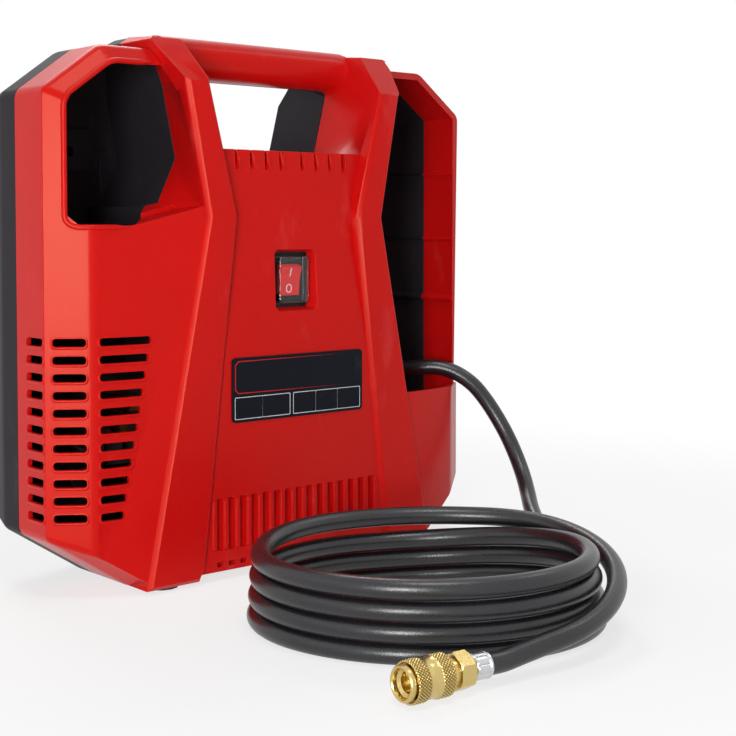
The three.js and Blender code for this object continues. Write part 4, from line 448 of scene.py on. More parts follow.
def metal(name, color, rough, stretch, grain, strength, shift=0.1):
    """Worked metal: fine marks along one way, slight tarnish."""
    s = Shader(name, color, rough, 1.0)
    marks = s.noise(grain, 3.0, 0.6, stretch)
    tarnish = s.blend(s.span(s.noise(60.0, 3.0), 0.0, 1.0), shade(color, 1 - shift), color)
    return s.done(tarnish, s.span(marks, rough - 0.06, rough + 0.1), marks, strength, 0.00008)


MATS = {
    "red": plastic("housing_red", srgb(198, 16, 16), 0.3, 0.03, 2400.0, 0.3, Specular_IOR_Level=0.22,
                   Specular_Tint=(1.0, 0.62, 0.42, 1.0)),
    "charcoal": plastic("housing_charcoal", srgb(42, 39, 43), 0.46, 0.06, 2200.0, 0.2,
                        Specular_IOR_Level=0.07),
    "liner": plastic("liner_black", srgb(33, 36, 41), 0.5, 0.08, 2200.0, 0.35, Specular_IOR_Level=0.12),
    # Near-black foam for the mat behind the back vents: painted shade for the dark inside of the case.
    "foam": plastic("filter_foam_painted_shade", srgb(16, 16, 17), 0.9, 0.2, 700.0, 1.0, Specular_IOR_Level=0.05),
    "black": plastic("switch_black", srgb(18, 18, 20), 0.38, 0.08, 3000.0, 0.2, Specular_IOR_Level=0.15),
    "film": plastic("nameplate_film", srgb(15, 19, 27), 0.3, 0.05, 3000.0, 0.08, Specular_IOR_Level=0.08),
    "ink_white": plastic("print_white", srgb(214, 218, 222), 0.42, 0.02, 3000.0, 0.05),
    "ink_red": plastic("print_red", srgb(204, 30, 34), 0.4, 0.02, 3000.0, 0.05, Specular_IOR_Level=0.15),
    "rocker": plastic("rocker_red", srgb(222, 26, 22), 0.3, 0.03, 3000.0, 0.1, Specular_IOR_Level=0.1),
    "rubber": plastic("soft_rubber", srgb(32, 32, 35), 0.6, 0.1, 1600.0, 0.3),
    "steel": metal("plated_steel", srgb(206, 208, 211), 0.24, (1, 1, 1), 4000.0, 0.02),
    "steel_matt": metal("rating_plate_metal", srgb(172, 174, 176), 0.45, (30, 1, 1), 900.0, 0.05),
    "lamination": metal("lamination_steel", srgb(104, 108, 112), 0.5, (40, 1, 1), 300.0, 0.3),
    "aluminium": metal("cast_aluminium", srgb(186, 188, 190), 0.48, (1, 1, 1), 700.0, 0.4),
    "copper": metal("enamelled_copper", srgb(190, 112, 66), 0.38, (30, 1, 1), 200.0, 0.4),
    "brass": metal("machined_brass", srgb(210, 186, 122), 0.24, (1, 1, 1), 5000.0, 0.015, 0.06),
    # A darker brass for the faces down in the knurl's grooves: painted shade.
    "brass_groove_painted_shade": metal("brass_painted_groove_shade", srgb(138, 112, 58), 0.4, (1, 1, 1), 5000.0, 0.03),
    "carbon": plastic("brush_carbon", srgb(42, 42, 44), 0.7, 0.1, 1500.0, 0.4),
    "polymer": plastic("natural_polymer", srgb(226, 220, 204), 0.45, 0.03, 2200.0, 0.15),
}


def hose_rubber():
    """Extruded rubber: satin black with very fine marks."""
    s = Shader("hose_rubber", srgb(27, 27, 31), 0.3, Specular_IOR_Level=0.55)
    cloud = s.blend(s.span(s.noise(35.0, 4.0), 0.0, 1.0), srgb(23, 23, 26), srgb(32, 32, 36))
    fine = s.noise(1500.0, 3.0, 0.6)
    return s.done(cloud, s.span(fine, 0.24, 0.38), fine, 0.3, 0.00012)


def clear_plastic():
    """The switch's soft see-through cover."""
    s = Shader("cover_clear", (0.98, 0.98, 0.99, 1.0), 0.03, Transmission_Weight=1.0, IOR=1.33)
    fine = s.noise(240.0, 2.0)
    tint = s.blend(s.span(fine, 0.0, 1.0), (0.95, 0.96, 0.98, 1.0), (1.0, 1.0, 1.0, 1.0))
    return s.done(tint, s.span(fine, 0.0, 0.05), fine, 0.03, 0.0002)


MATS["hose"] = hose_rubber()
MATS["clear"] = clear_plastic()

LOOKS = {
    "red": ("front_shell",),
    "charcoal": ("rear_shell", "brush_bracket"),
    "film": ("nameplate",),
    "black": ("switch_housing", "cooling_fan"),
    "rocker": ("switch_rocker",),
    "clear": ("switch_cover",),
    "rubber": ("mains_cable_bush", "hose_bush"),
    "aluminium": ("pump_frame", "connecting_rod", "piston", "cylinder", "cylinder_head"),
    "polymer": ("crank_gear", "piston_ring"),
    "lamination": ("motor_stator", "armature_core"),
    "copper": ("field_coil_upper", "field_coil_lower", "armature_winding", "commutator", "outlet_pipe"),
    "brass": ("outlet_fitting", "relief_valve_body", "coupler_body", "coupler_sleeve", "coupler_valve"),
    "carbon": ("brush_front", "brush_rear"),
    "hose": ("hose_lead", "hose_coil"),
}
NODE_LOOK = {node: look for look, nodes in LOOKS.items() for node in nodes}


def look_of(node):
    if node.startswith("foot_"):
        return "rubber"
    return NODE_LOOK.get(node, "steel")


SLOT_OF = {part["node"]: part["material_slot"] for part in frame["record"]["subparts"]}


def paint(obj, look):
    obj.data.materials.clear()
    obj.data.materials.append(MATS[look])


def fixed(piece, look, body="housing"):
    paint(piece, look)
    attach(piece, body)


# Moulded shells with rounded edges

def tree_of(node):
    mesh = NODES[node].data
    return BVHTree.FromPolygons([v.co for v in mesh.vertices], [tuple(p.vertices) for p in mesh.polygons])


FRONT = tree_of("front_shell")
REAR = tree_of("rear_shell")
WELD, FLAT = 2e-6, math.radians(0.8)  # closer corners are one corner, flatter edges no edge
BROAD_ANGLES, BROAD_SHORTEST = (12, 75), 10
FINE_ANGLES, ROOM = (28, 180), 2.2  # and the shortest edge that may be beside one, in roundings
OFF = 0.5  # a ray starts this far off the shell
FINE, FRONT_BROAD, REAR_BROAD = 0.45, 3.4, 3.0
FRONT_RIM_Y, FRONT_RIM_X = -48.5, 95  # the front shell's rims lie behind and outside these
REAR_RIM_Y, REAR_RIM_X = 4.4, 79
VENT_SIDE_X, VENT_SIDE_HIGH = -174, 200  # left of this, edges that go higher pass close by the vents


def even_shading(piece):
    """Flat faces keep a flat look beside their rounded edges."""
    mod = piece.modifiers.new("even", "WEIGHTED_NORMAL")
    mod.mode = "FACE_AREA"
    mod.weight = 100
    mod.keep_sharp = True


def softened(name, node, fine, broad=0.0, broad_test=None):
    """A copy of a node's shape with rounded edges: broad where the test allows, fine elsewhere."""
    bm = bmesh.new()
    bm.from_mesh(NODES[node].data)
    bmesh.ops.remove_doubles(bm, verts=bm.verts, dist=WELD)
    bmesh.ops.dissolve_limit(bm, angle_limit=FLAT, verts=bm.verts, edges=bm.edges)

    def bevel(width, segments, low, high, shortest, test):
        """Rounds convex edges that turn by low to high degrees, are long enough and pass the test."""
        bm.normal_update()
        found = []
        for edge in bm.edges:
            if len(edge.link_faces) != 2 or not edge.is_convex or edge.calc_length() < shortest * MM:
                continue
            if low <= math.degrees(edge.calc_face_angle(0)) <= high and test(edge):
                found.append(edge)
        bmesh.ops.bevel(bm, geom=found, offset=width * MM, offset_type="OFFSET", segments=segments,
                        profile=0.5, affect="EDGES", clamp_overlap=False)

    shortest = ROOM * fine

    def roomy(edge):
        """No edge beside it is too short for the rounding."""
        beside = [other for vert in edge.verts for other in vert.link_edges if other is not edge]
        return all(other.calc_length() >= shortest * MM for other in beside)

    if broad:
        tree = tree_of(node)

        def outer(edge):
            """Nothing else of the shell lies outside the edge, and it is one of the edges asked for."""
            middle = (edge.verts[0].co + edge.verts[1].co) / 2
            way = (edge.link_faces[0].normal + edge.link_faces[1].normal).normalized()
            clear = tree.ray_cast(middle + way * (OFF * MM), way)[0] is None
            return clear and broad_test(*(vert.co / MM for vert in edge.verts))

        bevel(broad, 4, *BROAD_ANGLES, BROAD_SHORTEST, outer)
    bevel(fine, 2, *FINE_ANGLES, shortest, roomy)
    mesh = bpy.data.meshes.new(name)
    bm.to_mesh(mesh)
    bm.free()
    finish_shading(mesh, True, 38)
    piece = link(bpy.data.objects.new(name, mesh))
    even_shading(piece)
    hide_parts(node)
    return piece


def front_rim(a, b):
    """The outer edges of the front shell's wings, without the long one that the vents come close to."""
    by_vents = max(a.x, b.x) < VENT_SIDE_X and abs(a.z - b.z) > VENT_SIDE_HIGH
    return min(a.y, b.y) > FRONT_RIM_Y and min(abs(a.x), abs(b.x)) > FRONT_RIM_X and not by_vents


def rear_rim(a, b):
    """The outer edges of the rear shell's wings and back."""
    return min(a.y, b.y) > REAR_RIM_Y and min(abs(a.x), abs(b.x)) > REAR_RIM_X


fixed(softened("front_shell_soft", "front_shell", FINE, FRONT_BROAD, front_rim), "red")
fixed(softened("rear_shell_soft", "rear_shell", FINE, REAR_BROAD, rear_rim), "charcoal")


def joined(name, pieces):
    """Several meshes as one piece."""
    bm = bmesh.new()
    for piece in pieces:
        bm.from_mesh(piece.data)
    mesh = bpy.data.meshes.new(name)
    bm.to_mesh(mesh)
    bm.free()
    for piece in pieces:
        bpy.data.objects.remove(piece)
    finish_shading(mesh, True, 40)
    return link(bpy.data.objects.new(name, mesh))


BEFORE = -90  # a depth in front of the case, where rays start


def lay(tree, points, lift, way=(0, 1, 0)):
    """Points in millimetres, dropped along a way onto a surface and lifted off it; a miss is left out."""
    hits = (tree.ray_cast(Vector(point) * MM, Vector(way)) for point in points)
    return [spot + normal * (lift * MM) for spot, normal, _, _ in hits if spot is not None]


def fade_ends(count, radius):
    """Radii for a tube that gets thin over two points at each end."""
    thin = (0.25, 0.7)
    to_end = [min(i, count - 1 - i) for i in range(count)]
    return [radius * MM * (thin[i] if i < len(thin) else 1.0) for i in to_end]


# Lips of the vents

VENT_TOP, VENT_PITCH, VENT_ROWS = 157.8, 10.7, 11
COLLAR_OVER = 1.5  # the collar goes past the slot's ends by this
COLLAR_FOOT, COLLAR_TOP, COLLAR_CORNER = -4.3, 3.5, 3.4
SLOT_FOOT, SLOT_TOP, SLOT_CORNER = -2.4, 2.45, 2.35
LIP_LEAST, LIP_GAIN, LIP_FROM, LIP_OVER = 0.2, 0.65, 2.6, 4.5  # it grows downwards from LIP_FROM
# a collar's rings: share of the way from its outline to the slot, depth, share of the lip's rise
COLLAR_RINGS = ((0, -0.3, 0), (0.12, 0, 0.45), (0.4, 0, 0.95), (0.7, 0, 1.0), (0.94, 0, 0.7), (1, 0, 0.2),
                (1, -1.9, 0))
# where rays start at each side of the case, and how long the slots are
SIDE_VENT, SIDE_VENT_LONG = (-205, -18.2), 19.6
BEVEL_VENT, BEVEL_VENT_LONG = (-181, -62.5), 20
FRONT_VENT_LEFT, FRONT_VENT_RIGHT, FRONT_VENT_SLANT, FRONT_VENT_Y = -147.6, -113, 1.9, -120
REAR_VENT, REAR_VENT_LONG, REAR_VENT_ROWS = (-105, 120), 62, 8


def collar(tree, place, way, along, length):
    """A raised collar with round ends for the slot at a place, and a lip that is proud at the foot."""
    x, y, z = place
    half = VENT_PITCH / 2
    top, out, _, _ = tree.ray_cast(Vector((x, y, z + half)) * MM, Vector(way))
    foot = tree.ray_cast(Vector((x, y, z - half)) * MM, Vector(way))[0]
    middle, up = (top + foot) / 2, (top - foot).normalized()
    along = (Vector(along) - out * Vector(along).dot(out)).normalized()
    end = length / 2
    over = end + COLLAR_OVER
    wide = rounded(rectangle(-over, over, COLLAR_FOOT, COLLAR_TOP), COLLAR_CORNER, 6)
    slot = rounded(rectangle(-end, end, SLOT_FOOT, SLOT_TOP), SLOT_CORNER, 6)
    verts = []
    for share, deep, rise in COLLAR_RINGS:
        for (u0, v0), (u1, v1) in zip(wide, slot):
            u, v = u0 + (u1 - u0) * share, v0 + (v1 - v0) * share
            lip = LIP_LEAST + LIP_GAIN * min(1.0, max(0.0, (LIP_FROM - v) / LIP_OVER))
            verts.append(middle + along * (u * MM) + up * (v * MM) + out * ((deep + rise * lip) * MM))
    piece = mesh_piece("collar", verts, ring_faces(len(COLLAR_RINGS), len(wide), True))
    outwards(piece.data)
    return piece


def vent_collars():
    """On each row of vents: one collar on the side, one on the bevel, one on the front."""
    made = []
    for row in range(VENT_ROWS):
        z = VENT_TOP - row * VENT_PITCH
        left, right = FRONT_VENT_LEFT, FRONT_VENT_RIGHT - FRONT_VENT_SLANT * row
        made.append(collar(FRONT, (*SIDE_VENT, z), (1, 0, 0), (0, 1, 0), SIDE_VENT_LONG))
        made.append(collar(FRONT, (*BEVEL_VENT, z), (0.6, 0.8, 0), (0.8, -0.6, 0), BEVEL_VENT_LONG))
        middle = ((left + right) / 2, FRONT_VENT_Y, z)
        made.append(collar(FRONT, middle, (0, 1, 0), (1, 0, 0), right - left))
    return joined("vent_collars", made)


fixed(vent_collars(), "red")


def intake_filter_shade_sheet():
    """Foam mat inside the case, over the vents of the back wall: a wavy face, a flat back. The near-black mat
    stands where the case's inside is only shade: a painted-shade sheet.
    """
    across, high = 36, 50
    left, foot, width, height = -146, 55, 78, 108
    face, back = 53.6, 55.4
    verts, faces = [], []
    for j in range(high + 1):
        for i in range(across + 1):
            wave = 0.35 * math.sin(i * 2.4) * math.sin(j * 2.2)
            verts.append(Vector((left + width * i / across, face + wave, foot + height * j / high)) * MM)
    for j in range(high):
        for i in range(across):
            a = j * (across + 1) + i
            faces.append((a, a + 1, a + across + 2, a + across + 1))
    edge = list(range(across + 1))
    edge += [j * (across + 1) + across for j in range(1, high + 1)]
    edge += [high * (across + 1) + i for i in range(across - 1, -1, -1)]
    edge += [j * (across + 1) for j in range(high - 1, 0, -1)]
    base = len(verts)
    verts += [Vector((verts[i].x, back * MM, verts[i].z)) for i in edge]
    for k in range(len(edge)):
        n = (k + 1) % len(edge)
        faces.append((edge[k], base + k, base + n, edge[n]))
    faces.append(tuple(range(base, base + len(edge))))
    piece = mesh_piece("intake_filter_shade_sheet", verts, faces, True, 50)
    outwards(piece.data)
    return piece


# The mat is a dark sheet that stands in for the shade inside the case: painted shade.
fixed(intake_filter_shade_sheet(), "foam")


# Storage bays

def bay_rim():
    """A round lip along the left bay's mouth; it ends where the shell does."""
    left, foot, top = -164.7, 227.4, 330.2
    corners = [(-124, foot), (left, foot), (left, 305.8), (-131.5, top), (-97, top)]
    apart, sunk, thick = 4, 0.2, 1.8
    points = [Vector(p) for p in rounded(corners, [0, 8, 6, 6, 0], 8)]
    dense = []
    for a, b in zip(points, points[1:]):
        steps = max(1, round((b - a).length / apart))
        dense += [a.lerp(b, k / steps) for k in range(steps)]
    spots = lay(FRONT, [(p.x, BEFORE, p.y) for p in dense[1:]], -sunk)
    return tube_mesh("bay_rim", spots, fade_ends(len(spots), thick), 14)


fixed(bay_rim(), "red")


def ledge_fill():
    """The ledge's end, and the wall's plane carried on over the step in the pillar's wall behind it."""
    left, right, front, back = -85, -73.6, -50.5, -28.5
    slope, level, thick = 0.25, 259.7, 2.2
    normal, spot = Vector((-0.87, -0.25, 0.41)), Vector((-75.7, -33.9, 251.3))  # of the wall's plane
    proud, sunk = 0.05, 1.2
    verts = []
    for low in (0, thick):
        for x, y in ((left, front), (right, front), (right, back), (left, back)):
            verts.append(Vector((x, y, level + slope * x - low)) * MM)
    for lift in (proud, -sunk):
        for y, z in ((back, 239), (-56.9, 239), (back, 251.2)):
            x = spot.x - (normal.y * (y - spot.y) + normal.z * (z - spot.z)) / normal.x
            verts.append((Vector((x, y, z)) + normal * lift) * MM)
    box = [(0, 1, 2, 3), (7, 6, 5, 4), (0, 4, 5, 1), (1, 5, 6, 2), (2, 6, 7, 3), (3, 7, 4, 0)]
    wedge = [(8, 9, 10), (13, 12, 11), (8, 11, 12, 9), (9, 12, 13, 10), (10, 13, 11, 8)]
    piece = mesh_piece("bay_ledge_end", verts, box + wedge, False)
    outwards(piece.data)
    return piece


fixed(ledge_fill(), "red")


def wall_ribs(name, tree, start, end):
    """Half-round ribs across the right bay's side wall, from one depth to another."""
    inside, steps = 150, 14
    tubes = []
    for height, radius in ((267.6, 1.3), (218.4, 1.3), (173.2, 2.8)):
        line = [(inside, start + (end - start) * k / steps, height) for k in range(steps + 1)]
        tubes.append(tube_mesh("rib", lay(tree, line, 0.0, (1, 0, 0)), radius * MM, 14))
    return joined(name, tubes)


fixed(wall_ribs("right_wall_ribs_front", FRONT, -27.0, 4.2), "red")
fixed(wall_ribs("right_wall_ribs_rear", REAR, 4.9, 44.0), "liner")


def boss_pad():
    """Square screw pad on the back wall of the left bay, round the hole of the boss."""
    x, z, half, corner = -109, 279.5, 14.0, 4.5
    face, foot, edge = 51.0, 55.6, 0.9
    hole, hole_radius = Vector((-112.0, 278.0)), 4.2
    outer = rounded(rectangle(x - half, x + half, z - half, z + half), corner, 8)
    inner = [tuple(hole + (Vector(p) - hole).normalized() * hole_radius) for p in outer]
    piece = ring_piece("bay_screw_pad", outer, inner, face, foot, True)
    add_bevel(piece, edge, 3)
    return piece


fixed(boss_pad(), "liner")


def bay_lines():
    """Fine ribs moulded into the left bay's liner: one line and a triangle."""
    start, apart, height, sunk = -95.5, 1.5, 280.4, 0.1
    line = [(start + k * apart, 0, height) for k in range(15)]
    tubes = [tube_mesh("line", lay(REAR, line, -sunk), 0.6 * MM, 8)]
    top, foot, steps = (-84.5, 273.5), (-84.5, 252.0), 10
    for (x0, z0), (x1, z1) in ((top, foot), (top, (-76.5, 262.5)), (foot, (-77.5, 259.0))):
        leg = [(x0 + (x1 - x0) * k / steps, 0, z0 + (z1 - z0) * k / steps) for k in range(steps + 1)]
        tubes.append(tube_mesh("line", lay(REAR, leg, -sunk), 0.7 * MM, 8))
    return joined("bay_liner_lines", tubes)


fixed(bay_lines(), "liner")


# Handle

def handle_half(name, front_half):
    """Half of the grip, round and smooth, flaring into both pillars below and beside."""
    around, root = 48, 12
    middle_y, middle_z = 2, 339.4
    deep, high, bore_deep, bore_high = 18.8, 13.8, 15.5, 11.0
    end, flare_long, flare_high = 77.0, 15.0, 9.5
    seam, nearer, turn = (4.35, min, 1) if front_half else (4.65, max, -1)
    places = []
    for j in range(root + 1):
        t = j / root
        places.append((end - flare_long * t, flare_high * (1 - math.sqrt(max(0.0, 1 - (1 - t) ** 2)))))
    places += [(x, 0.0) for x in (45, 30, 15)]
    places += [(0.0, 0.0)] + [(-x, swell) for x, swell in reversed(places)]

    def bulge(v):
        """A sine or cosine that makes the section a little squarer than an ellipse."""
        return math.copysign(abs(v) ** 0.84, v)

    verts = []
    for x, swell in places:
        outer, inner = [], []
        for i in range(around + 1):
            a = math.pi * (0.5 + turn * i / around)
            c, n = math.cos(a), math.sin(a)
            flare = swell * (1.0 if n < 0 else max(0.0, 1 - n * 1.25))
            down = flare * n if n < 0 else 0
            outer.append((middle_y + deep * bulge(c) + flare * c * 0.4, middle_z + high * bulge(n) + down))
            inner.append((middle_y + bore_deep * bulge(c), middle_z + bore_high * bulge(n)))
        verts += [Vector((x, nearer(y, seam), z)) * MM for y, z in outer + inner[::-1]]
    count = 2 * (around + 1)
    faces = ring_faces(len(places), count, False)
    faces.append(tuple(range(count)))
    faces.append(tuple(reversed(range(len(verts) - count, len(verts)))))
    piece = mesh_piece(name, verts, faces, True, 50)
    outwards(piece.data)
    piece.data.set_sharp_from_angle(angle=math.radians(50))
    return piece


fixed(handle_half("handle_grip_front", True), "red")
fixed(handle_half("handle_grip_rear", False), "charcoal")


# Back wall

BACK = 58.5  # depth of its face


def screw_spots():
    """The places (x, z) of the housing screws."""
    boxes = [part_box(name) for name in NODES if name.startswith("housing_screw")]
    return [tuple((low[i] + high[i]) / 2 / MM for i in (0, 2)) for low, high in boxes]


def back_details():
    """Collars of the vents, rings round the screws, a ridge round the wall and five ribs."""
    made = []
    for row in range(1, REAR_VENT_ROWS + 1):
        z = VENT_TOP - row * VENT_PITCH
        made.append(collar(REAR, (*REAR_VENT, z), (0, -1, 0), (1, 0, 0), REAR_VENT_LONG))
    ring_radius, ring_thick, ring_sunk = 6.6, 1.1, 0.5
    for x, z in screw_spots():
        ring = [Vector((u, BACK - ring_sunk, v)) * MM for u, v in circle(x, z, ring_radius, ring_radius, 40)]
        made.append(tube_mesh("ring", ring, ring_thick * MM, 12, True))
    half, foot, shoulder, top = 146, 20, 262, 296
    ridge = [(-half, 60), (-106, foot), (106, foot), (half, 60), (half, shoulder), (112, top), (75, top),
             (66, 258), (-66, 258), (-75, top), (-112, top), (-half, shoulder)]
    thick, rise, corner = 1.8, 0.9, 8
    path = [Vector((u, BACK - thick + rise, v)) * MM for u, v in rounded(ridge, corner, 8)]
    made.append(tube_mesh("ridge", path, thick * MM, 14, True))
    left, long, upper, pitch, sunk, steps = -52, 104, 226, 9, 1.2, 20
    for k in range(5):
        z = upper - pitch * k
        path = [Vector((left + long * i / steps, BACK - sunk, z)) * MM for i in range(steps + 1)]
        made.append(tube_mesh("bar", path, fade_ends(len(path), 2.0), 14))
    return joined("back_details", made)


fixed(back_details(), "charcoal")


def rating_plate():
    """A bare plate for the ratings."""
    outline = rounded(rectangle(18, 88, 96, 142), 3, 6)
    return prism_piece("rating_plate", outline, BACK - 0.1, BACK + 0.5, 0.2, 2)


fixed(rating_plate(), "steel_matt")


# Control panel

def rib_band():
    """The band across the foot of the grooves."""
    half_foot, half_top, foot, top, corner = 73.5, 73.0, 12.2, 19.5, 1.2
    face, back, edge = -56.25, -49.5, 0.7
    corners = [(-half_foot, foot), (half_foot, foot), (half_top, top), (-half_top, top)]
    return prism_piece("rib_band", rounded(corners, corner, 4), face, back, edge, 3)


fixed(rib_band(), "red")


def deck_lips():
    """Curled lips beside and under the slots along the deck's edge."""
    first, pitch, proud, thick = 9, 12, 0.05, 0.75
    curl = ((2.0, 275.6), (2.2, 273.5), (2.3, 271), (2.2, 268.5), (1.9, 266.4), (1.1, 264.7), (-0.1, 263.9),
            (-1.3, 263.8))
    lips = []
    for side in (-1, 1):
        for k in range(4):
            middle = side * (first + pitch * k)
            spots = lay(FRONT, [(middle + x, BEFORE, z) for x, z in curl], proud)
            lips.append(tube_mesh("lip", spots, fade_ends(len(spots), thick), 10))
    return joined("deck_slot_lips", lips)


fixed(deck_lips(), "red")


def rib_bars():
    """Rounded bars that stand between the grooves."""
    left, pitch, foot, long, sunk, thick, steps = -69, 9.2, 20.5, 31, 1.1, 2.1, 12
    bars = []
    for k in range(16):
        line = [(left + pitch * k, BEFORE, foot + long * j / steps) for j in range(steps + 1)]
        bars.append(tube_mesh("bar", lay(FRONT, line, -sunk), thick * MM, 14))
    return joined("rib_bars", bars)


fixed(rib_bars(), "red")


PLATE_FACE, PLATE_BACK = -56.5, -55.62  # depths of the nameplate
PRINT = (PLATE_FACE - 0.05, PLATE_FACE + 0.1)  # depths of the print on it


def nameplate():
    """The plate's film with its print: five empty fields in a row, and a line round the room above."""
    outline = rounded(rectangle(-55.5, 55.5, 101, 143), 3.4, 8)
    plate = prism_piece("nameplate_film", outline, PLATE_FACE, PLATE_BACK, 0.2, 2)
    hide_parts("nameplate")
    fixed(plate, "film")
    left, right, line = -53.2, 53.2, 0.42
    cells = []
    for x0, x1 in ((left, -31.0), (-31.0, -8.2), (-5.4, 13.8), (13.8, 33.0), (33.0, right)):
        cell = (x0 - 0.2, x1 + 0.2, 102.9, 117.4)
        outer, inner = rounded(rectangle(*cell), 0.9, 4), rounded(rectangle(*cell, line), 0.6, 4)
        cells.append(ring_piece("cell", outer, inner, *PRINT))
    fixed(joined("nameplate_cells", cells), "ink_white")
    end, foot, top, wide = 38.0, 119.6, 140.9, 0.62
    outer = [(end, top), (-50.6, top), (left, 138.3), (left, 122.2), (-50.6, foot), (end, foot)]
    inner = [(end, top), (-50.3, top - wide), (left + wide, 138.0), (left + wide, 122.5),
             (-50.3, foot + wide), (end, foot)]
    fixed(ring_piece("nameplate_line", outer, inner, *PRINT, around=False), "ink_red")


nameplate()


def switch_marks():
    """I and O on the rocker."""
    rocker = tree_of("switch_rocker")
    x, bar_foot, ring_middle, before, sunk = -0.6, 194.6, 186.3, -80, 0.12
    bar = lay(rocker, [(x, before, bar_foot + 0.6 * k) for k in range(10)], -sunk)
    ring = lay(rocker, [(u, before, v) for u, v in circle(x, ring_middle, 2.1, 2.7, 28)], -sunk)
    marks = [tube_mesh("mark", bar, 0.5 * MM, 8), tube_mesh("mark", ring, 0.45 * MM, 8, True)]
    fixed(joined("rocker_marks", marks), "ink_white", "rocker")


switch_marks()


# Small parts with rounded edges

SOFT_NODES = {
    "switch_cover": (0.5, "clear", "clear_plastic"),
    "switch_housing": (0.4, "black", "black_plastic"),
    "switch_rocker": (0.5, "rocker", SLOT_OF["switch_rocker"]),
    "mains_cable_bush": (0.4, "rubber", "rubber"),
}
BODY_OF = {node: body for body, nodes in frame["record"]["behaviour"]["bodies"].items() for node in nodes}
for node, (width, look, slot) in SOFT_NODES.items():
    fixed(softened(node + "_soft", node, width), look, BODY_OF[node])


# Quick coupler

COUPLER = COIL_END * MM
SLEEVE_R = 10.8
KNURLS = ((27.3, 34.3), (42.3, 49.3))  # the sleeve's two knurled bands, from the coupler's start
KNURL_COUNT, KNURL_PITCH, KNURL_DEEP = 38, 1.9, 0.55
# Faces of the knurl's grooves that lie between these radii get the darker brass: painted shade.
PAINTED_SHADE_RADII = (9, 10.52)  # the faces down in the grooves lie between these
HEX_START, HEX_END, HEX_FACE_R = 13.1, 22.1, 8.9
HEX_HALF, HEX_R = 8.66, 10.0  # half its width across the flats, and the radius of its corners
HEX_RIM_R, HEX_RIM_SLOPE = 8.95, 1.1
CRIMP_START, CRIMP_END, CRIMP_R, CRIMP_HIGH = 2.6, 9.6, 6.15, 0.7


def tri(v):
    """A wave between 0 and 1 with straight sides."""
    return 1 - abs(2 * (v - math.floor(v)) - 1)


def knurl(radius, along, angle):
    """Crossed grooves in the sleeve's outside."""
    if radius < SLEEVE_R - 0.05:
        return radius
    turn, across = angle / (2 * math.pi) * KNURL_COUNT, along / KNURL_PITCH
    groove = min(tri(turn + across), tri(turn - across))
    return radius - KNURL_DEEP * (1 - min(1.0, 1.3 * groove))


def hexagon(radius, along, angle):
    """The body's six flats, with their corners rounded off at both ends."""
    if not HEX_START - 0.1 < along < HEX_END + 0.1 or radius < HEX_FACE_R:
        return radius
    step = math.radians(60)
    turn = (angle + step / 2) % step - step / 2
    flat = HEX_HALF / math.cos(turn)
    rim = HEX_RIM_R + HEX_RIM_SLOPE * min(along - HEX_START, HEX_END - along)
    return min(flat, rim, HEX_R)


def crimp(radius, along, angle):
    """Eight pressed grooves along the ferrule."""
    if not CRIMP_START < along < CRIMP_END:
        return radius
    return CRIMP_R + CRIMP_HIGH * abs(math.cos(4 * angle)) ** 0.35


def run(radius, low, high, step):
    """Points of a profile at one radius, about a step apart."""
    count = max(1, round((high - low) / step))
    return [(radius, low + (high - low) * k / count) for k in range(count + 1)]


def coupler_sleeve():
    profile = [(10.2, 26.8), *run(SLEEVE_R, *KNURLS[0], 0.28), (10.35, 34.5), (10.0, 35.0), (10.0, 38.3),
               (10.0, 41.6), (10.35, 42.1), *run(SLEEVE_R, *KNURLS[1], 0.28), (10.3, 49.8), (9.9, 49.8),
               (8.0, 47.6), (7.7, 47.2), (7.7, 26.8), (10.2, 26.8)]
    sleeve = lathe("coupler_knurled_sleeve", profile, COUPLER, COIL_END_WAY, 304, 55, knurl)
    sleeve.data.materials.append(MATS["brass"])
    sleeve.data.materials.append(MATS["brass_groove_painted_shade"])
    # The faces down in the knurled bands' grooves get the darker brass: painted shade.
    for face in sleeve.data.polygons:
        from_start = face.center - COUPLER
        along = from_start.dot(COIL_END_WAY)
        in_band = any(low - 0.1 < along / MM < high + 0.1 for low, high in KNURLS)
        radius = (from_start - COIL_END_WAY * along).length / MM
        if in_band and PAINTED_SHADE_RADII[0] < radius < PAINTED_SHADE_RADII[1]:
            face.material_index = 1
    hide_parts("coupler_sleeve")
    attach(sleeve, "sleeve")


def coupler_body():
    profile = [(0.02, 12.95), (5.2, 12.95), (8.9, 13.1), *run(10.0, 13.3, 14.3, 0.25), (10.0, 17.6),
               *run(10.0, 20.9, 21.9, 0.25), (8.9, 22.1), (8.3, 22.25), (7.4, 22.5), (7.4, 49.9), (8.0, 50.1),
               (8.8, 50.2), (9.0, 50.45), (9.0, 52.6), (8.6, 53.1), (7.7, 53.1), (7.3, 52.6), (6.9, 50.4),
               (5.2, 49.2), (5.2, 28.3), (0.02, 28.3)]
    body = lathe("coupler_brass_body", profile, COUPLER, COIL_END_WAY, 96, 28, hexagon)
    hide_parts("coupler_body")
    fixed(body, "brass")


def hose_ferrule():
    profile = [(5.0, 0.35), (6.5, 0.35), (6.9, 0.8), (6.9, 1.9), (6.5, 2.3), *run(6.5, 2.7, 9.5, 0.85),
               (6.3, 9.9), (6.0, 10.3), (5.3, 10.7), (5.2, 12.8), (4.0, 12.8), (4.0, 0.35), (5.0, 0.35)]
    ferrule = lathe("hose_crimped_ferrule", profile, COUPLER, COIL_END_WAY, 128, 40, crimp)
    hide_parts("hose_ferrule")
    fixed(ferrule, "steel")


coupler_sleeve()
coupler_body()
hose_ferrule()


# Hose bush

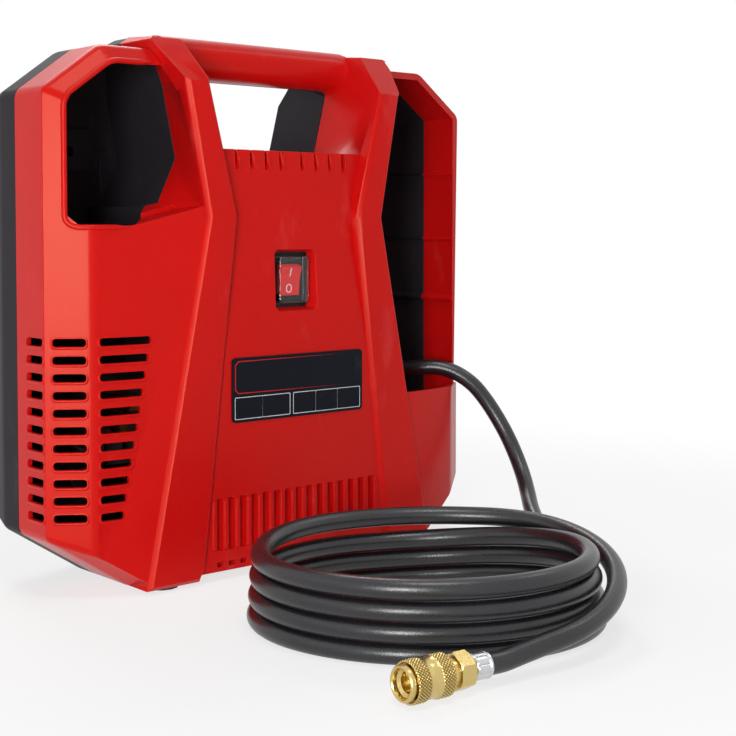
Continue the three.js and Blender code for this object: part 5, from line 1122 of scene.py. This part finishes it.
def strain_relief():
    """A flange and six ribs on a sleeve that gets thinner, round the hose's way out of the case."""
    profile = [(5.9, 84.7), (8.9, 84.7), (8.9, 90.3), (11.6, 90.6), (12.0, 91.0), (12.0, 93.7), (11.4, 94.3),
               (9.2, 94.6)]
    for k in range(6):
        x, r = 95.4 + 3.5 * k, 9.0 - 0.36 * k
        profile += [(r, x), (r, x + 2.2), (r - 1.1, x + 2.5), (r - 1.1, x + 3.2)]
    profile += [(6.9, 116.6), (6.5, 117.5), (5.9, 117.5), (5.9, 84.7)]
    origin = Vector((0, LEAD_START.y, LEAD_START.z)) * MM
    piece = lathe("hose_strain_relief", profile, origin, Vector((1, 0, 0)), 48, 35)
    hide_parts("hose_bush")
    fixed(piece, "rubber")


strain_relief()


for node_name, node_obj in NODES.items():
    paint(node_obj, look_of(node_name))
paint(hose, "hose")


# Light and floor

def area(name, place, target, size, power):
    data = bpy.data.lights.new(name, "AREA")
    data.shape = "RECTANGLE"
    data.size, data.size_y = size
    data.energy = power
    lamp = link(bpy.data.objects.new(name, data))
    lamp.location = place
    look_along(lamp, Vector(target) - Vector(place))


def seen_directly(tree):
    """1 for rays of the camera and for those through or off gloss, metal and glass."""
    path = add_node(tree, "ShaderNodeLightPath", {})
    total = path.outputs["Is Camera Ray"]
    for kind in ("Is Glossy Ray", "Is Transmission Ray"):
        both = {0: total, 1: path.outputs[kind]}
        total = add_node(tree, "ShaderNodeMath", both, operation="MAXIMUM").outputs["Value"]
    return total


def mix_shaders(tree, factor, first, second, output):
    mix = add_node(tree, "ShaderNodeMixShader", {"Fac": factor, 1: first, 2: second})
    tree.links.new(mix.outputs["Shader"], tree.nodes[output].inputs["Surface"])


def make_light():
    """A white surround that lights little, and six lamps."""
    scene = bpy.context.scene
    scene.view_settings.view_transform = "Standard"
    world = bpy.data.worlds.new("studio")
    scene.world = world
    world.use_nodes = True
    tree = world.node_tree
    dim = tree.nodes["Background"]
    dim.inputs["Color"].default_value = (1, 1, 1, 1)
    dim.inputs["Strength"].default_value = 0.2
    white = add_node(tree, "ShaderNodeBackground", {"Color": (1, 1, 1, 1), "Strength": 1.0})
    backgrounds = dim.outputs["Background"], white.outputs["Background"]
    mix_shaders(tree, seen_directly(tree), *backgrounds, "World Output")
    middle = (0.0, -0.05, 0.18)
    area("key", (-1.0, -0.87, 0.25), middle, (0.3, 0.46), 10.2)
    area("side", (-2.1, 0.3, 1.0), middle, (1.0, 1.2), 1.5)
    area("top", (-0.28, -0.6, 1.6), middle, (0.5, 0.4), 6.5)
    area("right", (1.7, -1.3, 1.0), middle, (1.0, 1.0), 0.6)
    area("handle", (0.86, -0.46, 1.26), (0.05, 0.0, 0.35), (0.24, 0.16), 1.0)
    area("rear", (0.5, 1.35, 1.9), middle, (1.1, 0.8), 24)


def make_floor():
    """A white floor that glows where it is seen directly, less and less away from the middle."""
    half = 6.0
    corners = [(x, y, 0) for x, y in rectangle(-half, half, -half, half)]
    floor = mesh_piece("studio_floor", corners, [(0, 1, 2, 3)], False)
    mat = bpy.data.materials.new("floor_white")
    mat.use_nodes = True
    tree = mat.node_tree
    bsdf = tree.nodes["Principled BSDF"]
    bsdf.inputs["Base Color"].default_value = (0.93, 0.93, 0.93, 1)
    bsdf.inputs["Roughness"].default_value = 0.9
    bsdf.inputs["Specular IOR Level"].default_value = 0.2
    glow = add_node(tree, "ShaderNodeEmission", {"Strength": 1.0})
    place = add_node(tree, "ShaderNodeTexCoord", {}).outputs["Object"]
    length = add_node(tree, "ShaderNodeVectorMath", {0: place}, operation="LENGTH").outputs["Value"]
    ramp = {"From Min": 0.35, "From Max": 0.75, "To Min": 0.72, "Value": length}
    fade = add_node(tree, "ShaderNodeMapRange", ramp, interpolation_type="SMOOTHSTEP").outputs["Result"]
    share = {0: seen_directly(tree), 1: fade}
    both = add_node(tree, "ShaderNodeMath", share, operation="MULTIPLY").outputs["Value"]
    mix_shaders(tree, both, bsdf.outputs["BSDF"], glow.outputs["Emission"], "Material Output")
    floor.data.materials.append(mat)
    floor.location.z = -0.0002


make_light()
make_floor()
